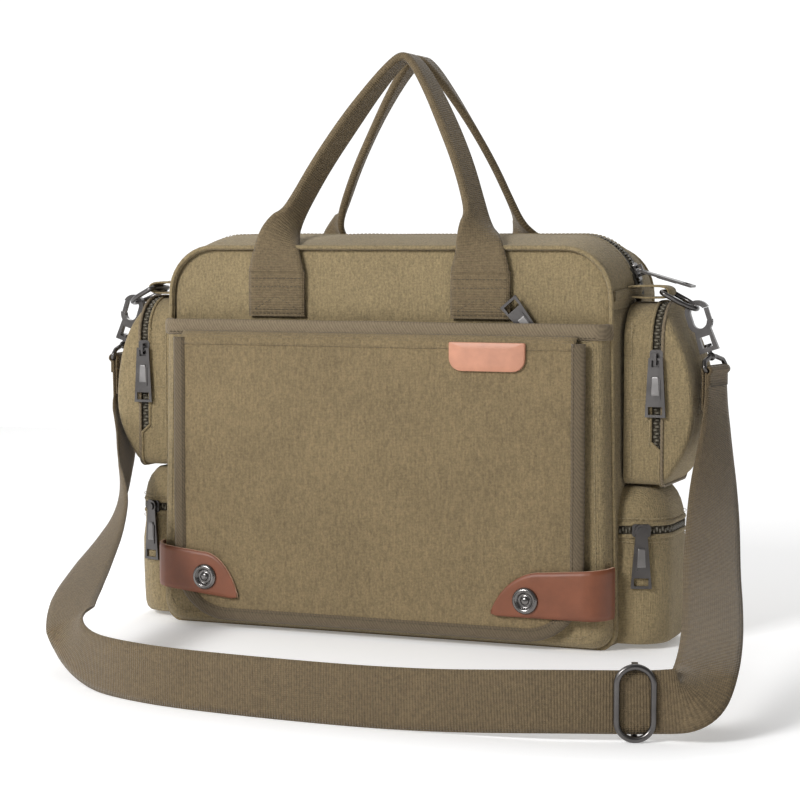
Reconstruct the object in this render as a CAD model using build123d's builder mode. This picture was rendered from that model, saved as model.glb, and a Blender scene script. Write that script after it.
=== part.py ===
from build123d import *
import os
from math import cos, radians, sin

os.makedirs("parts", exist_ok=True)

# Canvas messenger bag, in millimetres. X runs along the front from the wearer's left to right
# as seen from the front, +Y is the back, +Z is up. The origin is the middle of the base's
# resting face. What comes in pairs is made on the right and mirrored to the left.

# Body
HALF_TOP = 185          # half width of the front panel at its top
HALF_BASE = 191         # half width of the front panel at its base
HALF_DEPTH = 60
PANEL_TOP = 306         # height of the seam between the front panel and the top gusset
TOP_R = 38
BASE_R = 16
CANVAS_T = 3            # canvas, foam and lining together
CROWN = 11              # rise of the top gusset from the panel seam to the zip
BULGE = 5               # how far the gusset stands out halfway between front and back
GUSSET_Z = 268          # cross seam between the side gusset and the top gusset
ZIP_HALF = 2.5          # half width of a zip's teeth
TAPE_HALF = 8           # half width of a zip with its tapes

# Front pocket, flap and leather
POCKET_TOP = 246.5
POCKET_Y = -74          # outer face of the front pocket
POCKET_T = 2.5
POCKET_TAPER = 5        # how much narrower the pocket is at its front than at its seam
BINDING_BASE = 236
BINDING_T = 1.5
FLAP_TOP = 234.5
FLAP_BASE = 7
FLAP_HALF = 172
FLAP_R = 46
FLAP_BACK, FLAP_FRONT = -79, -84
FLAP_STEP = 0.5         # how far the flap's binding stands proud of it on each side
TAPE_W = 10
LEATHER_T = 2.6
LEATHER_GAP = 0.4       # between the flap and the leather straps that cross it
SNAPS = {"left": (-143, 42), "right": (127.5, 39)}

# Webbing
HANDLE_W = 48
HANDLE_T = 2.4
HANDLE_X = 86
HANDLE_SHIFT = -4
HANDLE_FOLD = 284.5     # the stitch line where a handle bends away from its sewn end
HANDLE_BASE = 251
FOLDED_W, FOLDED_T = 24, 5.5    # a handle folded in two lengthwise
STRAP_W = 40
STRAP_T = 2.2

# Side pockets
SIDE_T = 2
UPPER_FRONT, UPPER_BACK, UPPER_BASE, UPPER_TOP = -46, 30, 126, 264
UPPER_R = 30
ZIP_IN_X, ZIP_OUT_X = 214, 221  # the upper pocket's zip runs round it between these planes
ZIP_FOOT_Z = 150
LOWER_FRONT, LOWER_BACK, LOWER_OUT = -52, 35, 226
LOWER_BASE, LOWER_TOP = 4, 123
LOWER_R = 28
LOWER_ZIP_Z, LOWER_ZIP_H = 88, 8

# Strap hardware, on the right; the left is its mirror image
RING_Y = -19
PIN_X, PIN_Z = 217, 272
WIRE_R = 2
RING_ANGLE = 28         # how far the D-ring droops
HOOK_ANGLE = 18.4       # how far the hook leans out from the vertical
STRAP_BAR = Vector(256, -17, 213)


def finish(piece, name):
    """Label a finished piece and write it."""
    piece.part.label = name
    export_step(piece.part, f"parts/{name}.step")


def finish_pair(piece, name):
    """Write a right-hand piece, and its mirror image for the left."""
    finish(piece, f"{name}_right")
    with BuildPart() as twin:
        mirror(piece.part, about=Plane.YZ)
    finish(twin, f"{name}_left")


def finish_both(piece, name):
    """Write a right-hand piece and its mirror image as one node."""
    with BuildPart() as both:
        add(piece.part)
        mirror(piece.part, about=Plane.YZ)
    finish(both, name)


# ---------------------------------------------------------------- body shell

def body_outline(inset=0.0, middle=False):
    """The bag's front outline, x across and y up; the middle one is fuller and higher."""
    wide, high = (BULGE, CROWN) if middle else (0, 0)
    top = PANEL_TOP + high - inset
    with BuildSketch() as outline:
        with BuildLine():
            Polyline(
                (-HALF_BASE - wide + inset, inset),
                (HALF_BASE + wide - inset, inset),
                (HALF_TOP + wide - inset, top),
                (-HALF_TOP - wide + inset, top),
                close=True,
            )
        make_face()
        fillet(outline.vertices().group_by(Axis.Y)[-1], TOP_R + (high + wide) / 2 - inset)
        fillet(outline.vertices().group_by(Axis.Y)[0], BASE_R - inset)
    return outline.sketch


def at_depth(y):
    """The upright plane at y, facing forwards."""
    return Plane.XZ.offset(-y)


def body_block(inset):
    """A solid block with the bag's outer shape, taken in by inset."""
    sections = {y: body_outline(inset, middle=(y == 0)) for y in (-HALF_DEPTH, 0, HALF_DEPTH)}
    with BuildPart() as block:
        for y, outline in sections.items():
            with BuildSketch(at_depth(y)):
                add(outline)
        loft(ruled=True)
    return block.part


outer_block = body_block(0)
inner_block = body_block(CANVAS_T)
WIDE = 4 * HALF_BASE
INNER_Y = HALF_DEPTH - CANVAS_T

panel_outline = body_outline()
for name, front_y in (("front_panel", -HALF_DEPTH), ("back_panel", INNER_Y)):
    with BuildPart() as panel:
        with BuildSketch(at_depth(front_y)):
            add(panel_outline)
        extrude(amount=-CANVAS_T)
    finish(panel, name)

with BuildPart() as main_gusset:
    add(outer_block)
    add(inner_block, mode=Mode.SUBTRACT)
    with Locations((0, 0, GUSSET_Z / 2 - 5)):
        Box(WIDE, 2 * INNER_Y, GUSSET_Z + 10, mode=Mode.INTERSECT)
finish(main_gusset, "main_gusset")

for name, side in (("top_gusset_front", -1), ("top_gusset_back", 1)):
    width = INNER_Y - TAPE_HALF
    with BuildPart() as strip:
        add(outer_block)
        add(inner_block, mode=Mode.SUBTRACT)
        with Locations((0, side * (TAPE_HALF + width / 2), GUSSET_Z + 50)):
            Box(WIDE, width, 100, mode=Mode.INTERSECT)
    finish(strip, name)

with BuildPart() as base_board:
    with Locations((0, 0, CANVAS_T)):
        Box(2 * (HALF_BASE - BASE_R), 2 * INNER_Y - 2, 3, align=(Align.CENTER, Align.CENTER, Align.MIN))
    fillet(base_board.edges().filter_by(Axis.Z), 6)
finish(base_board, "base_board")

SLEEVE_TOP = 240
with BuildPart() as laptop_sleeve:
    with Locations((0, INNER_Y - 7, CANVAS_T + 3)):
        Box(2 * (HALF_TOP - 12), 6, SLEEVE_TOP, align=(Align.CENTER, Align.MIN, Align.MIN))
    fillet(laptop_sleeve.edges().filter_by(Axis.Y).group_by(Axis.Z)[-1], 15)
finish(laptop_sleeve, "laptop_sleeve")

# ---------------------------------------------------------------- zips and their pulls

PULL_L, PULL_TOP_W, PULL_BASE_W, PULL_T = 44, 11, 16, 1.8
PULL_EYE = (6, 5)       # opening that the slider's arch passes through
PULL_SLOT_H = 6         # opening at the pull's foot
PULL_FOOT = 5           # from the pull's end to the middle of that opening
PULL_PLATE = (8, 16)    # raised plate on the pull's face
PULL_PLATE_T = 0.6
BAR_R = 0.9             # the pull's hinge bar
ARCH_RISE = 1.5         # from the slider's plate to the middle of the hinge bar
SLIDER_L, SLIDER_W, SLIDER_T = 14, 10, 1.6
POST_R, POST_FIT, POST_HEAD_R = 1.6, 0.06, 3.0


def bar_pull(plane):
    """A pull hung on a bar. In plane: x along the bar, y up, so the tab hangs down."""
    with BuildPart() as pull:
        with BuildSketch(plane):
            with BuildLine():
                Polyline(
                    (-PULL_TOP_W / 2, BAR_R),
                    (PULL_TOP_W / 2, BAR_R),
                    (PULL_BASE_W / 2, -PULL_L),
                    (-PULL_BASE_W / 2, -PULL_L),
                    close=True,
                )
            make_face()
            with Locations((0, -3.4)):
                Rectangle(*PULL_EYE, mode=Mode.SUBTRACT)
            with Locations((0, -PULL_L + PULL_FOOT)):
                Rectangle(PULL_BASE_W - 5, PULL_SLOT_H, mode=Mode.SUBTRACT)
        extrude(amount=PULL_T / 2, both=True)
        with BuildSketch(plane.offset(PULL_T / 2)):
            with Locations((0, -PULL_L / 2 - 1)):
                RectangleRounded(*PULL_PLATE, 1)
        extrude(amount=PULL_PLATE_T)
    return pull


def post_pull(plane):
    """A pull that turns on a post. In plane: the post at the origin, the tab below it."""
    with BuildPart() as pull:
        with BuildSketch(plane):
            with BuildLine():
                Polyline(
                    (-PULL_TOP_W / 2 + 1, -3),
                    (PULL_TOP_W / 2 - 1, -3),
                    (PULL_BASE_W / 2, -PULL_L),
                    (-PULL_BASE_W / 2, -PULL_L),
                    close=True,
                )
            make_face()
            Circle(PULL_TOP_W / 2 - 0.5)
            Circle(POST_R + POST_FIT, mode=Mode.SUBTRACT)
            with Locations((0, -PULL_L + PULL_FOOT)):
                Rectangle(PULL_BASE_W - 5, PULL_SLOT_H, mode=Mode.SUBTRACT)
        extrude(amount=PULL_T / 2, both=True)
        with BuildSketch(plane.offset(PULL_T / 2)):
            with Locations((0, -PULL_L / 2 - 1)):
                RectangleRounded(*PULL_PLATE, 1)
        extrude(amount=PULL_PLATE_T)
    return pull


def arch_slider(plane):
    """A slider seen from outside, in plane: y along the zip, z out of it.

    The plane lies on the teeth's outer face, and an arch stands over the pull's bar."""
    gap, bar_z = 0.3, 0.3 + SLIDER_T + ARCH_RISE
    with BuildPart() as slider:
        with BuildSketch(plane.offset(gap)):
            RectangleRounded(SLIDER_W, SLIDER_L, 2.5)
        extrude(amount=SLIDER_T)
        side = Plane(origin=plane.origin, x_dir=plane.y_dir, z_dir=plane.x_dir)
        with BuildSketch(side):
            with Locations((0, bar_z)):
                Rectangle(9, 2 * ARCH_RISE + 2.4)
                Rectangle(4.6, 2 * ARCH_RISE, mode=Mode.SUBTRACT)
        extrude(amount=1, both=True)
    return slider, plane.offset(bar_z).origin


def post_slider(plane):
    """A slider whose pull turns on a headed post. Plane as for arch_slider."""
    gap, pull_room = 0.3, PULL_T + 0.4
    with BuildPart() as slider:
        with BuildSketch(plane.offset(gap)):
            RectangleRounded(SLIDER_L, SLIDER_W, 2.5)
        extrude(amount=SLIDER_T)
        with BuildSketch(plane.offset(gap + SLIDER_T)):
            Circle(POST_R)
        extrude(amount=pull_room)
        with BuildSketch(plane.offset(gap + SLIDER_T + pull_room)):
            Circle(POST_HEAD_R)
        extrude(amount=1.0)
    return slider, plane.offset(gap + SLIDER_T + pull_room / 2).origin


# Main zip: follows the body's middle outline over the top and down both corners
ZIP_END_Z = 276
for name, outside, inside, bands in (
    ("main_zip_tapes", 1.0, 2.2, ((-TAPE_HALF, -ZIP_HALF), (ZIP_HALF, TAPE_HALF))),
    ("main_zip_teeth", 0.0, 2.0, ((-ZIP_HALF, ZIP_HALF),)),
):
    outer, inner = body_outline(outside, middle=True), body_outline(inside, middle=True)
    with BuildPart() as strip:
        for y0, y1 in bands:
            with BuildSketch(at_depth(y0)):
                add(outer)
                add(inner, mode=Mode.SUBTRACT)
                Rectangle(WIDE, 2 * ZIP_END_Z, mode=Mode.SUBTRACT)
            extrude(amount=y0 - y1)
    finish(strip, name)

ZIP_TOP = PANEL_TOP + CROWN
ZIP_R = TOP_R + (CROWN + BULGE) / 2
ARC_Z = ZIP_TOP - ZIP_R
ARC_X = HALF_BASE + BULGE - (HALF_BASE - HALF_TOP) * ARC_Z / ZIP_TOP - ZIP_R
SLIDER_ANGLE = 20
PULL_ANGLE = -16

out = Vector(cos(radians(SLIDER_ANGLE)), 0, sin(radians(SLIDER_ANGLE)))
teeth_face = Plane(origin=Vector(ARC_X, 0, ARC_Z) + out * ZIP_R, x_dir=(0, -1, 0), z_dir=out)
main_slider, main_bar = arch_slider(teeth_face)
finish(main_slider, "main_slider")
hang = Vector(cos(radians(PULL_ANGLE)), 0, sin(radians(PULL_ANGLE)))
main_pull = bar_pull(Plane(origin=main_bar, x_dir=(0, -1, 0), z_dir=Vector(0, -1, 0).cross(hang * -1)))
finish(main_pull, "main_pull")

# ---------------------------------------------------------------- front pocket

def pocket_section(inset, top):
    """The front pocket's outline, straight-sided and square at its open top."""
    half_top = HALF_BASE - (HALF_BASE - HALF_TOP) * top / PANEL_TOP
    with BuildSketch() as section:
        with BuildLine():
            Polyline(
                (-HALF_BASE + inset, inset),
                (HALF_BASE - inset, inset),
                (half_top - inset, top),
                (-half_top + inset, top),
                close=True,
            )
        make_face()
        fillet(section.vertices().group_by(Axis.Y)[0], BASE_R)
    return section.sketch


SEAM_INSET = 1
with BuildPart() as front_pocket:
    for y, inset in ((-HALF_DEPTH, SEAM_INSET), (POCKET_Y, SEAM_INSET + POCKET_TAPER)):
        with BuildSketch(at_depth(y)):
            add(pocket_section(inset, POCKET_TOP))
    loft(ruled=True)
    for y, inset in ((-HALF_DEPTH, SEAM_INSET), (POCKET_Y + POCKET_T, SEAM_INSET + POCKET_TAPER)):
        with BuildSketch(at_depth(y)):
            add(pocket_section(inset + POCKET_T, POCKET_TOP + 10))
    loft(ruled=True, mode=Mode.SUBTRACT)
finish(front_pocket, "front_pocket_panel")

binding_half = HALF_TOP - POCKET_TAPER
binding_inner_y = POCKET_Y + POCKET_T + BINDING_T
with BuildPart() as pocket_binding:
    with BuildSketch(at_depth(POCKET_Y - BINDING_T)):
        with Locations((0, (BINDING_BASE + POCKET_TOP + BINDING_T) / 2)):
            Rectangle(2 * binding_half, POCKET_TOP + BINDING_T - BINDING_BASE)
    extrude(amount=POCKET_Y - BINDING_T - binding_inner_y)
    add(front_pocket.part, mode=Mode.SUBTRACT)
finish(pocket_binding, "pocket_binding")

# The pocket's zip lies level behind the binding, and its pull stands up on a post
FRONT_ZIP_Z = 223
FRONT_ZIP_Y = (binding_inner_y - HALF_DEPTH) / 2
with BuildPart() as front_zip:
    for y0, y1, thickness in (
        (binding_inner_y, FRONT_ZIP_Y - ZIP_HALF - 0.2, 1.2),
        (FRONT_ZIP_Y - ZIP_HALF, FRONT_ZIP_Y + ZIP_HALF, 2.0),
        (FRONT_ZIP_Y + ZIP_HALF + 0.2, -HALF_DEPTH, 1.2),
    ):
        with Locations((0, (y0 + y1) / 2, FRONT_ZIP_Z)):
            Box(2 * binding_half - 6, y1 - y0, thickness)
finish(front_zip, "front_zip")

FRONT_SLIDER_X = 134
FRONT_POST_Z = 231
FRONT_PULL_LEAN = 40
slider_base = FRONT_ZIP_Z + 1.3
lug_back, lug_front = FRONT_ZIP_Y + 1.6, FRONT_ZIP_Y + 0.4
pull_front = lug_front - PULL_T - 0.6
LUG_W = 7
with BuildPart() as front_slider:
    with BuildSketch(Plane.XY.offset(slider_base)):
        with Locations((FRONT_SLIDER_X, FRONT_ZIP_Y)):
            RectangleRounded(SLIDER_L, SLIDER_W - 2, 2.5)
    extrude(amount=SLIDER_T)
    with BuildSketch(at_depth(lug_back)):
        with Locations((FRONT_SLIDER_X, (slider_base + 1 + FRONT_POST_Z) / 2)):
            Rectangle(LUG_W, FRONT_POST_Z - slider_base - 1)
        with Locations((FRONT_SLIDER_X, FRONT_POST_Z)):
            Circle(LUG_W / 2)
    extrude(amount=lug_back - lug_front)
    with BuildSketch(at_depth(lug_front)):
        with Locations((FRONT_SLIDER_X, FRONT_POST_Z)):
            Circle(POST_R)
    extrude(amount=lug_front - pull_front)
    with BuildSketch(at_depth(pull_front)):
        with Locations((FRONT_SLIDER_X, FRONT_POST_Z)):
            Circle(POST_HEAD_R)
    extrude(amount=1)
finish(front_slider, "front_slider")
lean = radians(FRONT_PULL_LEAN)
front_pull = post_pull(
    Plane(
        origin=(FRONT_SLIDER_X, (lug_front + pull_front) / 2, FRONT_POST_Z),
        x_dir=(-cos(lean), 0, -sin(lean)),
        z_dir=(0, -1, 0),
    )
)
finish(front_pull, "front_pull")

# ---------------------------------------------------------------- flap and leather

def flap_outline(inset):
    """The flap's outline, square at its sewn top and round at its lower corners."""
    with BuildSketch() as outline:
        with BuildLine():
            Polyline(
                (-FLAP_HALF + inset, FLAP_BASE + inset),
                (FLAP_HALF - inset, FLAP_BASE + inset),
                (FLAP_HALF - inset, FLAP_TOP),
                (-FLAP_HALF + inset, FLAP_TOP),
                close=True,
            )
        make_face()
        fillet(outline.vertices().group_by(Axis.Y)[0], FLAP_R - inset)
    return outline.sketch


flap_middle = flap_outline(TAPE_W)
with BuildPart() as flap_panel:
    with BuildSketch(at_depth(FLAP_FRONT + FLAP_STEP)):
        add(flap_middle)
    extrude(amount=FLAP_FRONT - FLAP_BACK + 2 * FLAP_STEP)
finish(flap_panel, "flap_panel")

with BuildPart() as flap_binding:
    with BuildSketch(at_depth(FLAP_FRONT)):
        add(flap_outline(0))
        add(flap_middle, mode=Mode.SUBTRACT)
    extrude(amount=FLAP_FRONT - FLAP_BACK)
finish(flap_binding, "flap_binding")

TAB_LEFT, TAB_RIGHT, TAB_BASE = 65, 126, 212
TAB_TOP = FLAP_TOP - 0.5
with BuildPart() as leather_tab:
    with BuildSketch(at_depth(FLAP_FRONT + FLAP_STEP)) as tab_outline:
        with Locations(((TAB_LEFT + TAB_RIGHT) / 2, (TAB_BASE + TAB_TOP) / 2)):
            Rectangle(TAB_RIGHT - TAB_LEFT, TAB_TOP - TAB_BASE)
        fillet(tab_outline.vertices().group_by(Axis.Y)[0], 10)
    extrude(amount=LEATHER_T)
finish(leather_tab, "leather_tab")

STUD_R, STUD_T = 7, 0.3
with BuildPart() as snap_studs:
    with BuildSketch(at_depth(FLAP_FRONT + FLAP_STEP)):
        with Locations(*SNAPS.values()):
            Circle(STUD_R)
    extrude(amount=STUD_T)
finish(snap_studs, "snap_studs")

# The leather straps are sewn into the panel's side seams, bend forwards round the front
# pocket's edge and cross the flap to their snaps.
STRAP_FACE_Y = FLAP_FRONT - LEATHER_GAP
STRAP_ROOT = (190.5, -65)
STRAP_BEND = ((189.5, -75), (182, -82), (174, STRAP_FACE_Y - LEATHER_T / 2))
LEATHER_STRAPS = {
    "left": {"side": -1, "tip": (114, 25), "shoulder": (146, 62), "root": (33, 67)},
    "right": {"side": 1, "tip": (99, 26), "shoulder": (141, 61), "root": (26, 65)},
}
SNAP_CAP_R, SNAP_CAP_T = 10, 3
for name, strap in LEATHER_STRAPS.items():
    side = strap["side"]
    (tip_x, tip_z), (shoulder_x, shoulder_z) = strap["tip"], strap["shoulder"]
    root_low, root_high = strap["root"]
    with BuildPart() as leather_strap:
        with BuildSketch():
            with BuildLine():
                Polyline(
                    (side * STRAP_ROOT[0], STRAP_ROOT[1]),
                    *((side * x, y) for x, y in STRAP_BEND),
                    (side * (tip_x - 5), STRAP_BEND[-1][1]),
                )
            trace(line_width=LEATHER_T)
        extrude(amount=PANEL_TOP)
        with BuildSketch(at_depth(-HALF_DEPTH)):
            with BuildLine():
                low_edge = Line((side * 200, root_low), (side * tip_x, tip_z))
                Spline(
                    low_edge @ 1,
                    (side * (tip_x * 0.75 + shoulder_x * 0.25), tip_z * 0.45 + shoulder_z * 0.55),
                    (side * shoulder_x, shoulder_z),
                )
                Polyline((side * shoulder_x, shoulder_z), (side * 200, root_high), low_edge @ 0)
            make_face()
        extrude(amount=HALF_DEPTH, mode=Mode.INTERSECT)
    finish(leather_strap, f"leather_strap_{name}")
    with BuildPart() as snap_cap:
        with BuildSketch(at_depth(STRAP_FACE_Y - LEATHER_T)):
            with Locations(SNAPS[name]):
                Circle(SNAP_CAP_R)
        extrude(amount=SNAP_CAP_T)
        chamfer(snap_cap.faces().sort_by(Axis.Y)[0].edges(), 1.2)
    finish(snap_cap, f"snap_cap_{name}")

# ---------------------------------------------------------------- side pockets

def upper_pocket_block(inset):
    """The upper side pocket as a solid, round at its top front and back, leaning outwards."""
    with BuildPart() as block:
        with BuildSketch(Plane.YZ.offset(180)) as arch:
            with Locations(((UPPER_FRONT + UPPER_BACK) / 2, (UPPER_BASE + UPPER_TOP) / 2)):
                Rectangle(UPPER_BACK - UPPER_FRONT - 2 * inset, UPPER_TOP - UPPER_BASE - 2 * inset)
            fillet(arch.vertices().group_by(Axis.Y)[-1], UPPER_R - inset)
        extrude(amount=80)
        with BuildSketch(at_depth(UPPER_FRONT)) as profile:
            with BuildLine():
                Polyline(
                    (170, UPPER_BASE + inset),
                    (222 - inset, UPPER_BASE + inset),
                    (246 - inset, 165),
                    (240 - inset, 225),
                    (220 - inset, UPPER_TOP - 2 - inset),
                    (170, UPPER_TOP - inset),
                    close=True,
                )
            make_face()
        extrude(amount=UPPER_FRONT - UPPER_BACK, mode=Mode.INTERSECT)
    return block.part


def slab(x0, x1, z0, z1):
    """A block between two x planes and two z planes, deeper than the bag."""
    return Pos((x0 + x1) / 2, 0, (z0 + z1) / 2) * Box(x1 - x0, 4 * HALF_DEPTH, z1 - z0)


upper_shell = upper_pocket_block(0) - upper_pocket_block(SIDE_T) - outer_block
ZIP_SINK = 0.6          # how far the side zips lie below the canvas
upper_zip_shell = upper_pocket_block(ZIP_SINK) - upper_pocket_block(SIDE_T) - outer_block
wall_zone = slab(150, ZIP_IN_X, 0, 300) + slab(ZIP_IN_X, ZIP_OUT_X, 0, ZIP_FOOT_Z)
for name, shell, zone, write in (
    ("upper_pocket_wall", upper_shell, wall_zone, finish_pair),
    ("upper_pocket_zips", upper_zip_shell, slab(ZIP_IN_X, ZIP_OUT_X, ZIP_FOOT_Z, 300), finish_both),
    ("upper_pocket_lid", upper_shell, slab(ZIP_OUT_X, 300, 0, 300), finish_pair),
):
    with BuildPart() as pocket_piece:
        add(shell)
        add(zone, mode=Mode.INTERSECT)
    write(pocket_piece, name)

UPPER_SLIDER_Z = 222
upper_teeth = Plane(
    origin=((ZIP_IN_X + ZIP_OUT_X) / 2, UPPER_FRONT, UPPER_SLIDER_Z),
    x_dir=(1, 0, 0),
    z_dir=(0, -1, 0),
)
upper_slider, upper_bar = arch_slider(upper_teeth)
finish_pair(upper_slider, "upper_slider")
finish_pair(bar_pull(Plane(origin=upper_bar, x_dir=(1, 0, 0), z_dir=(0, -1, 0))), "upper_pull")


def lower_pocket_plan(inset, shrink=0.0):
    """The lower side pocket from above, round at its two outer corners."""
    with BuildSketch() as plan:
        out_x = LOWER_OUT - inset - shrink
        low_y, high_y = LOWER_FRONT + inset + shrink / 3, LOWER_BACK - inset - shrink / 3
        with Locations(((180 + out_x) / 2, (low_y + high_y) / 2)):
            Rectangle(out_x - 180, high_y - low_y)
        fillet(plan.vertices().group_by(Axis.X)[-1], LOWER_R - inset)
    return plan.sketch


def lower_pocket_band(z0, z1, outside, inside):
    """An upright wall that follows the lower pocket's plan."""
    with BuildPart() as band:
        with BuildSketch(Plane.XY.offset(z0)):
            add(lower_pocket_plan(outside))
            add(lower_pocket_plan(inside), mode=Mode.SUBTRACT)
        extrude(amount=z1 - z0)
        add(outer_block, mode=Mode.SUBTRACT)
    return band


with BuildPart() as lower_pocket:
    add(lower_pocket_band(LOWER_BASE, LOWER_ZIP_Z, 0, SIDE_T).part)
    with BuildSketch(Plane.XY.offset(LOWER_BASE)):
        add(lower_pocket_plan(0))
    extrude(amount=SIDE_T)
    add(outer_block, mode=Mode.SUBTRACT)
finish_pair(lower_pocket, "lower_pocket")
lower_zip = lower_pocket_band(LOWER_ZIP_Z, LOWER_ZIP_Z + LOWER_ZIP_H, ZIP_SINK, SIDE_T)
finish_both(lower_zip, "lower_pocket_zips")

LOWER_TOP_SHRINK = 11
with BuildPart() as lower_pocket_top:
    for z, shrink in ((LOWER_ZIP_Z + LOWER_ZIP_H, 0), (LOWER_TOP, LOWER_TOP_SHRINK)):
        with BuildSketch(Plane.XY.offset(z)):
            add(lower_pocket_plan(0, shrink))
    loft(ruled=True)
    for z, shrink in ((LOWER_ZIP_Z + LOWER_ZIP_H, 0), (LOWER_TOP - SIDE_T, LOWER_TOP_SHRINK)):
        with BuildSketch(Plane.XY.offset(z)):
            add(lower_pocket_plan(SIDE_T, shrink))
    loft(ruled=True, mode=Mode.SUBTRACT)
    add(outer_block, mode=Mode.SUBTRACT)
finish_pair(lower_pocket_top, "lower_pocket_top")

# The lower slider runs on the pocket's round front corner
CORNER = Vector(LOWER_OUT - LOWER_R, LOWER_FRONT + LOWER_R, LOWER_ZIP_Z + LOWER_ZIP_H / 2)
LOWER_SLIDER_ANGLE = 20
turn = radians(LOWER_SLIDER_ANGLE)
lower_out = Vector(sin(turn), -cos(turn), 0)
lower_along = Vector(cos(turn), sin(turn), 0)
lower_slider, lower_post = post_slider(
    Plane(origin=CORNER + lower_out * LOWER_R, x_dir=lower_along, z_dir=lower_out)
)
finish_pair(lower_slider, "lower_slider")
finish_pair(post_pull(Plane(origin=lower_post, x_dir=lower_along, z_dir=lower_out)), "lower_pull")

# ---------------------------------------------------------------- handles

END_T = 2.4
for name, side in (("front", -1), ("back", 1)):
    with BuildPart() as handle_ends:
        with BuildSketch(at_depth(side * HALF_DEPTH)):
            for leg in (-1, 1):
                with Locations((HANDLE_SHIFT + leg * HANDLE_X, (HANDLE_BASE + HANDLE_FOLD) / 2)):
                    Rectangle(HANDLE_W, HANDLE_FOLD - HANDLE_BASE)
        extrude(amount=-side * END_T)
    finish(handle_ends, f"handle_ends_{name}")


def sections(stations):
    """Rectangles across a band, from (centre, direction across, width, thickness) stations."""
    outlines = []
    for i, (centre, across, width, thickness) in enumerate(stations):
        before = stations[max(i - 1, 0)][0]
        after = stations[min(i + 1, len(stations) - 1)][0]
        along = (after - before).normalized()
        across = across.normalized()
        plane = Plane(origin=centre, x_dir=across, z_dir=across.cross(along.cross(across)))
        with BuildSketch(plane) as outline:
            Rectangle(width, thickness)
        outlines.append(outline.sketch)
    return outlines


def ribbon(outlines):
    """A ruled band through the given sections."""
    with BuildPart() as band:
        loft(sections=[outline.face() for outline in outlines], ruled=True)
    return band


# Half spread, height and lean of a handle, from its stitch line to its highest point
HANDLE_ROUTE = (
    (86, 286.2, 62.6, HANDLE_T, HANDLE_W),
    (86, 311, 62.6, 4, 38),
    (79, 327, 50, FOLDED_W, FOLDED_T),
    (73, 343, 45.2, FOLDED_W, FOLDED_T),
    (60, 372, 37.1, FOLDED_W, FOLDED_T),
    (42, 404, 28.3, FOLDED_W, FOLDED_T),
    (25, 431, 20.8, FOLDED_W, FOLDED_T),
    (10, 451, 15.2, FOLDED_W, FOLDED_T),
)
HANDLE_APEX = (3, 459, 13)
for name, side in (("front", -1), ("back", 1)):
    legs = {}
    for leg in (-1, 1):
        legs[leg] = []
        for spread, z, lean_y, width, thickness in HANDLE_ROUTE:
            rise = (z - HANDLE_ROUTE[0][1]) / (HANDLE_APEX[1] - HANDLE_ROUTE[0][1])
            shift = HANDLE_SHIFT + (HANDLE_APEX[0] - HANDLE_SHIFT) * rise
            centre = Vector(shift + leg * spread, side * lean_y, z)
            legs[leg].append((centre, Vector(0, 1, 0), width, thickness))
    apex_x, apex_z, apex_y = HANDLE_APEX
    apex = (Vector(apex_x, side * apex_y, apex_z), Vector(0, 1, 0), FOLDED_W, FOLDED_T)
    finish(ribbon(sections([*legs[-1], apex, *reversed(legs[1])])), f"handle_{name}")

# ---------------------------------------------------------------- strap hardware

LOOP_W, LOOP_T, LOOP_H = 22, 1.6, 10
LOOP_IN = 175           # where the loop would end inside the bag; the gusset cuts it short
with BuildPart() as ring_loop:
    with BuildSketch(at_depth(RING_Y + LOOP_W / 2)):
        with Locations(((PIN_X + LOOP_IN) / 2, PIN_Z)):
            SlotCenterToCenter(PIN_X - LOOP_IN, LOOP_H)
            SlotCenterToCenter(PIN_X - LOOP_IN, LOOP_H - 2 * LOOP_T, mode=Mode.SUBTRACT)
    extrude(amount=LOOP_W)
    add(outer_block, mode=Mode.SUBTRACT)
finish_pair(ring_loop, "ring_loop")

droop = radians(RING_ANGLE)
DRING_HALF, DRING_ARM, DRING_CORNER = 15, 12, 4
dring_out = Vector(cos(droop), 0, -sin(droop))
dring_plane = Plane(origin=(PIN_X, RING_Y, PIN_Z), x_dir=(0, 1, 0), z_dir=Vector(0, 1, 0).cross(dring_out))
pin_end = DRING_HALF - DRING_CORNER
with BuildPart() as dring:
    with BuildLine(dring_plane) as dring_path:
        Line((-pin_end, 0), (pin_end, 0))
        CenterArc((pin_end, DRING_CORNER), DRING_CORNER, -90, 90)
        Line((DRING_HALF, DRING_CORNER), (DRING_HALF, DRING_ARM))
        CenterArc((0, DRING_ARM), DRING_HALF, 0, 180)
        Line((-DRING_HALF, DRING_ARM), (-DRING_HALF, DRING_CORNER))
        CenterArc((-pin_end, DRING_CORNER), DRING_CORNER, 180, 90)
    with BuildSketch(Plane(origin=dring_plane.origin, z_dir=dring_plane.x_dir)):
        Circle(WIRE_R)
    sweep()
finish_pair(dring, "dring")

# Hook, drawn in its own plane: the origin is the D-ring's wire, y runs up the hook
tilt = radians(HOOK_ANGLE)
wire = Vector(PIN_X, RING_Y, PIN_Z) + dring_out * (DRING_ARM + DRING_HALF)
hook_up = Vector(-sin(tilt), 0, cos(tilt))
hook_plane = Plane(origin=wire, x_dir=hook_up.cross(Vector(0, -1, 0)), z_dir=(0, -1, 0))
HOOK_T = 5
EYE_IN, EYE_OUT = 5.5, 9.5
EYE_TOP, EYE_LOW = -3.1, -10
GATE_X, GATE_Z, GATE_PIN_R, GATE_FIT, GATE_T = 7.3, -12.5, 1.0, 0.05, 2.6
HOOK_BASE, WINDOW_TOP, WINDOW_BASE = -34, -22, -30.5
SWIVEL_R, SWIVEL_FIT = 1.6, 0.05
NECK_Z, NECK_HALF, BASE_HALF = -14, 6, 7.5      # the hook's body widens from its neck to its base
WINDOW_W = 8            # opening in the base, where the swivel's head turns
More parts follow.
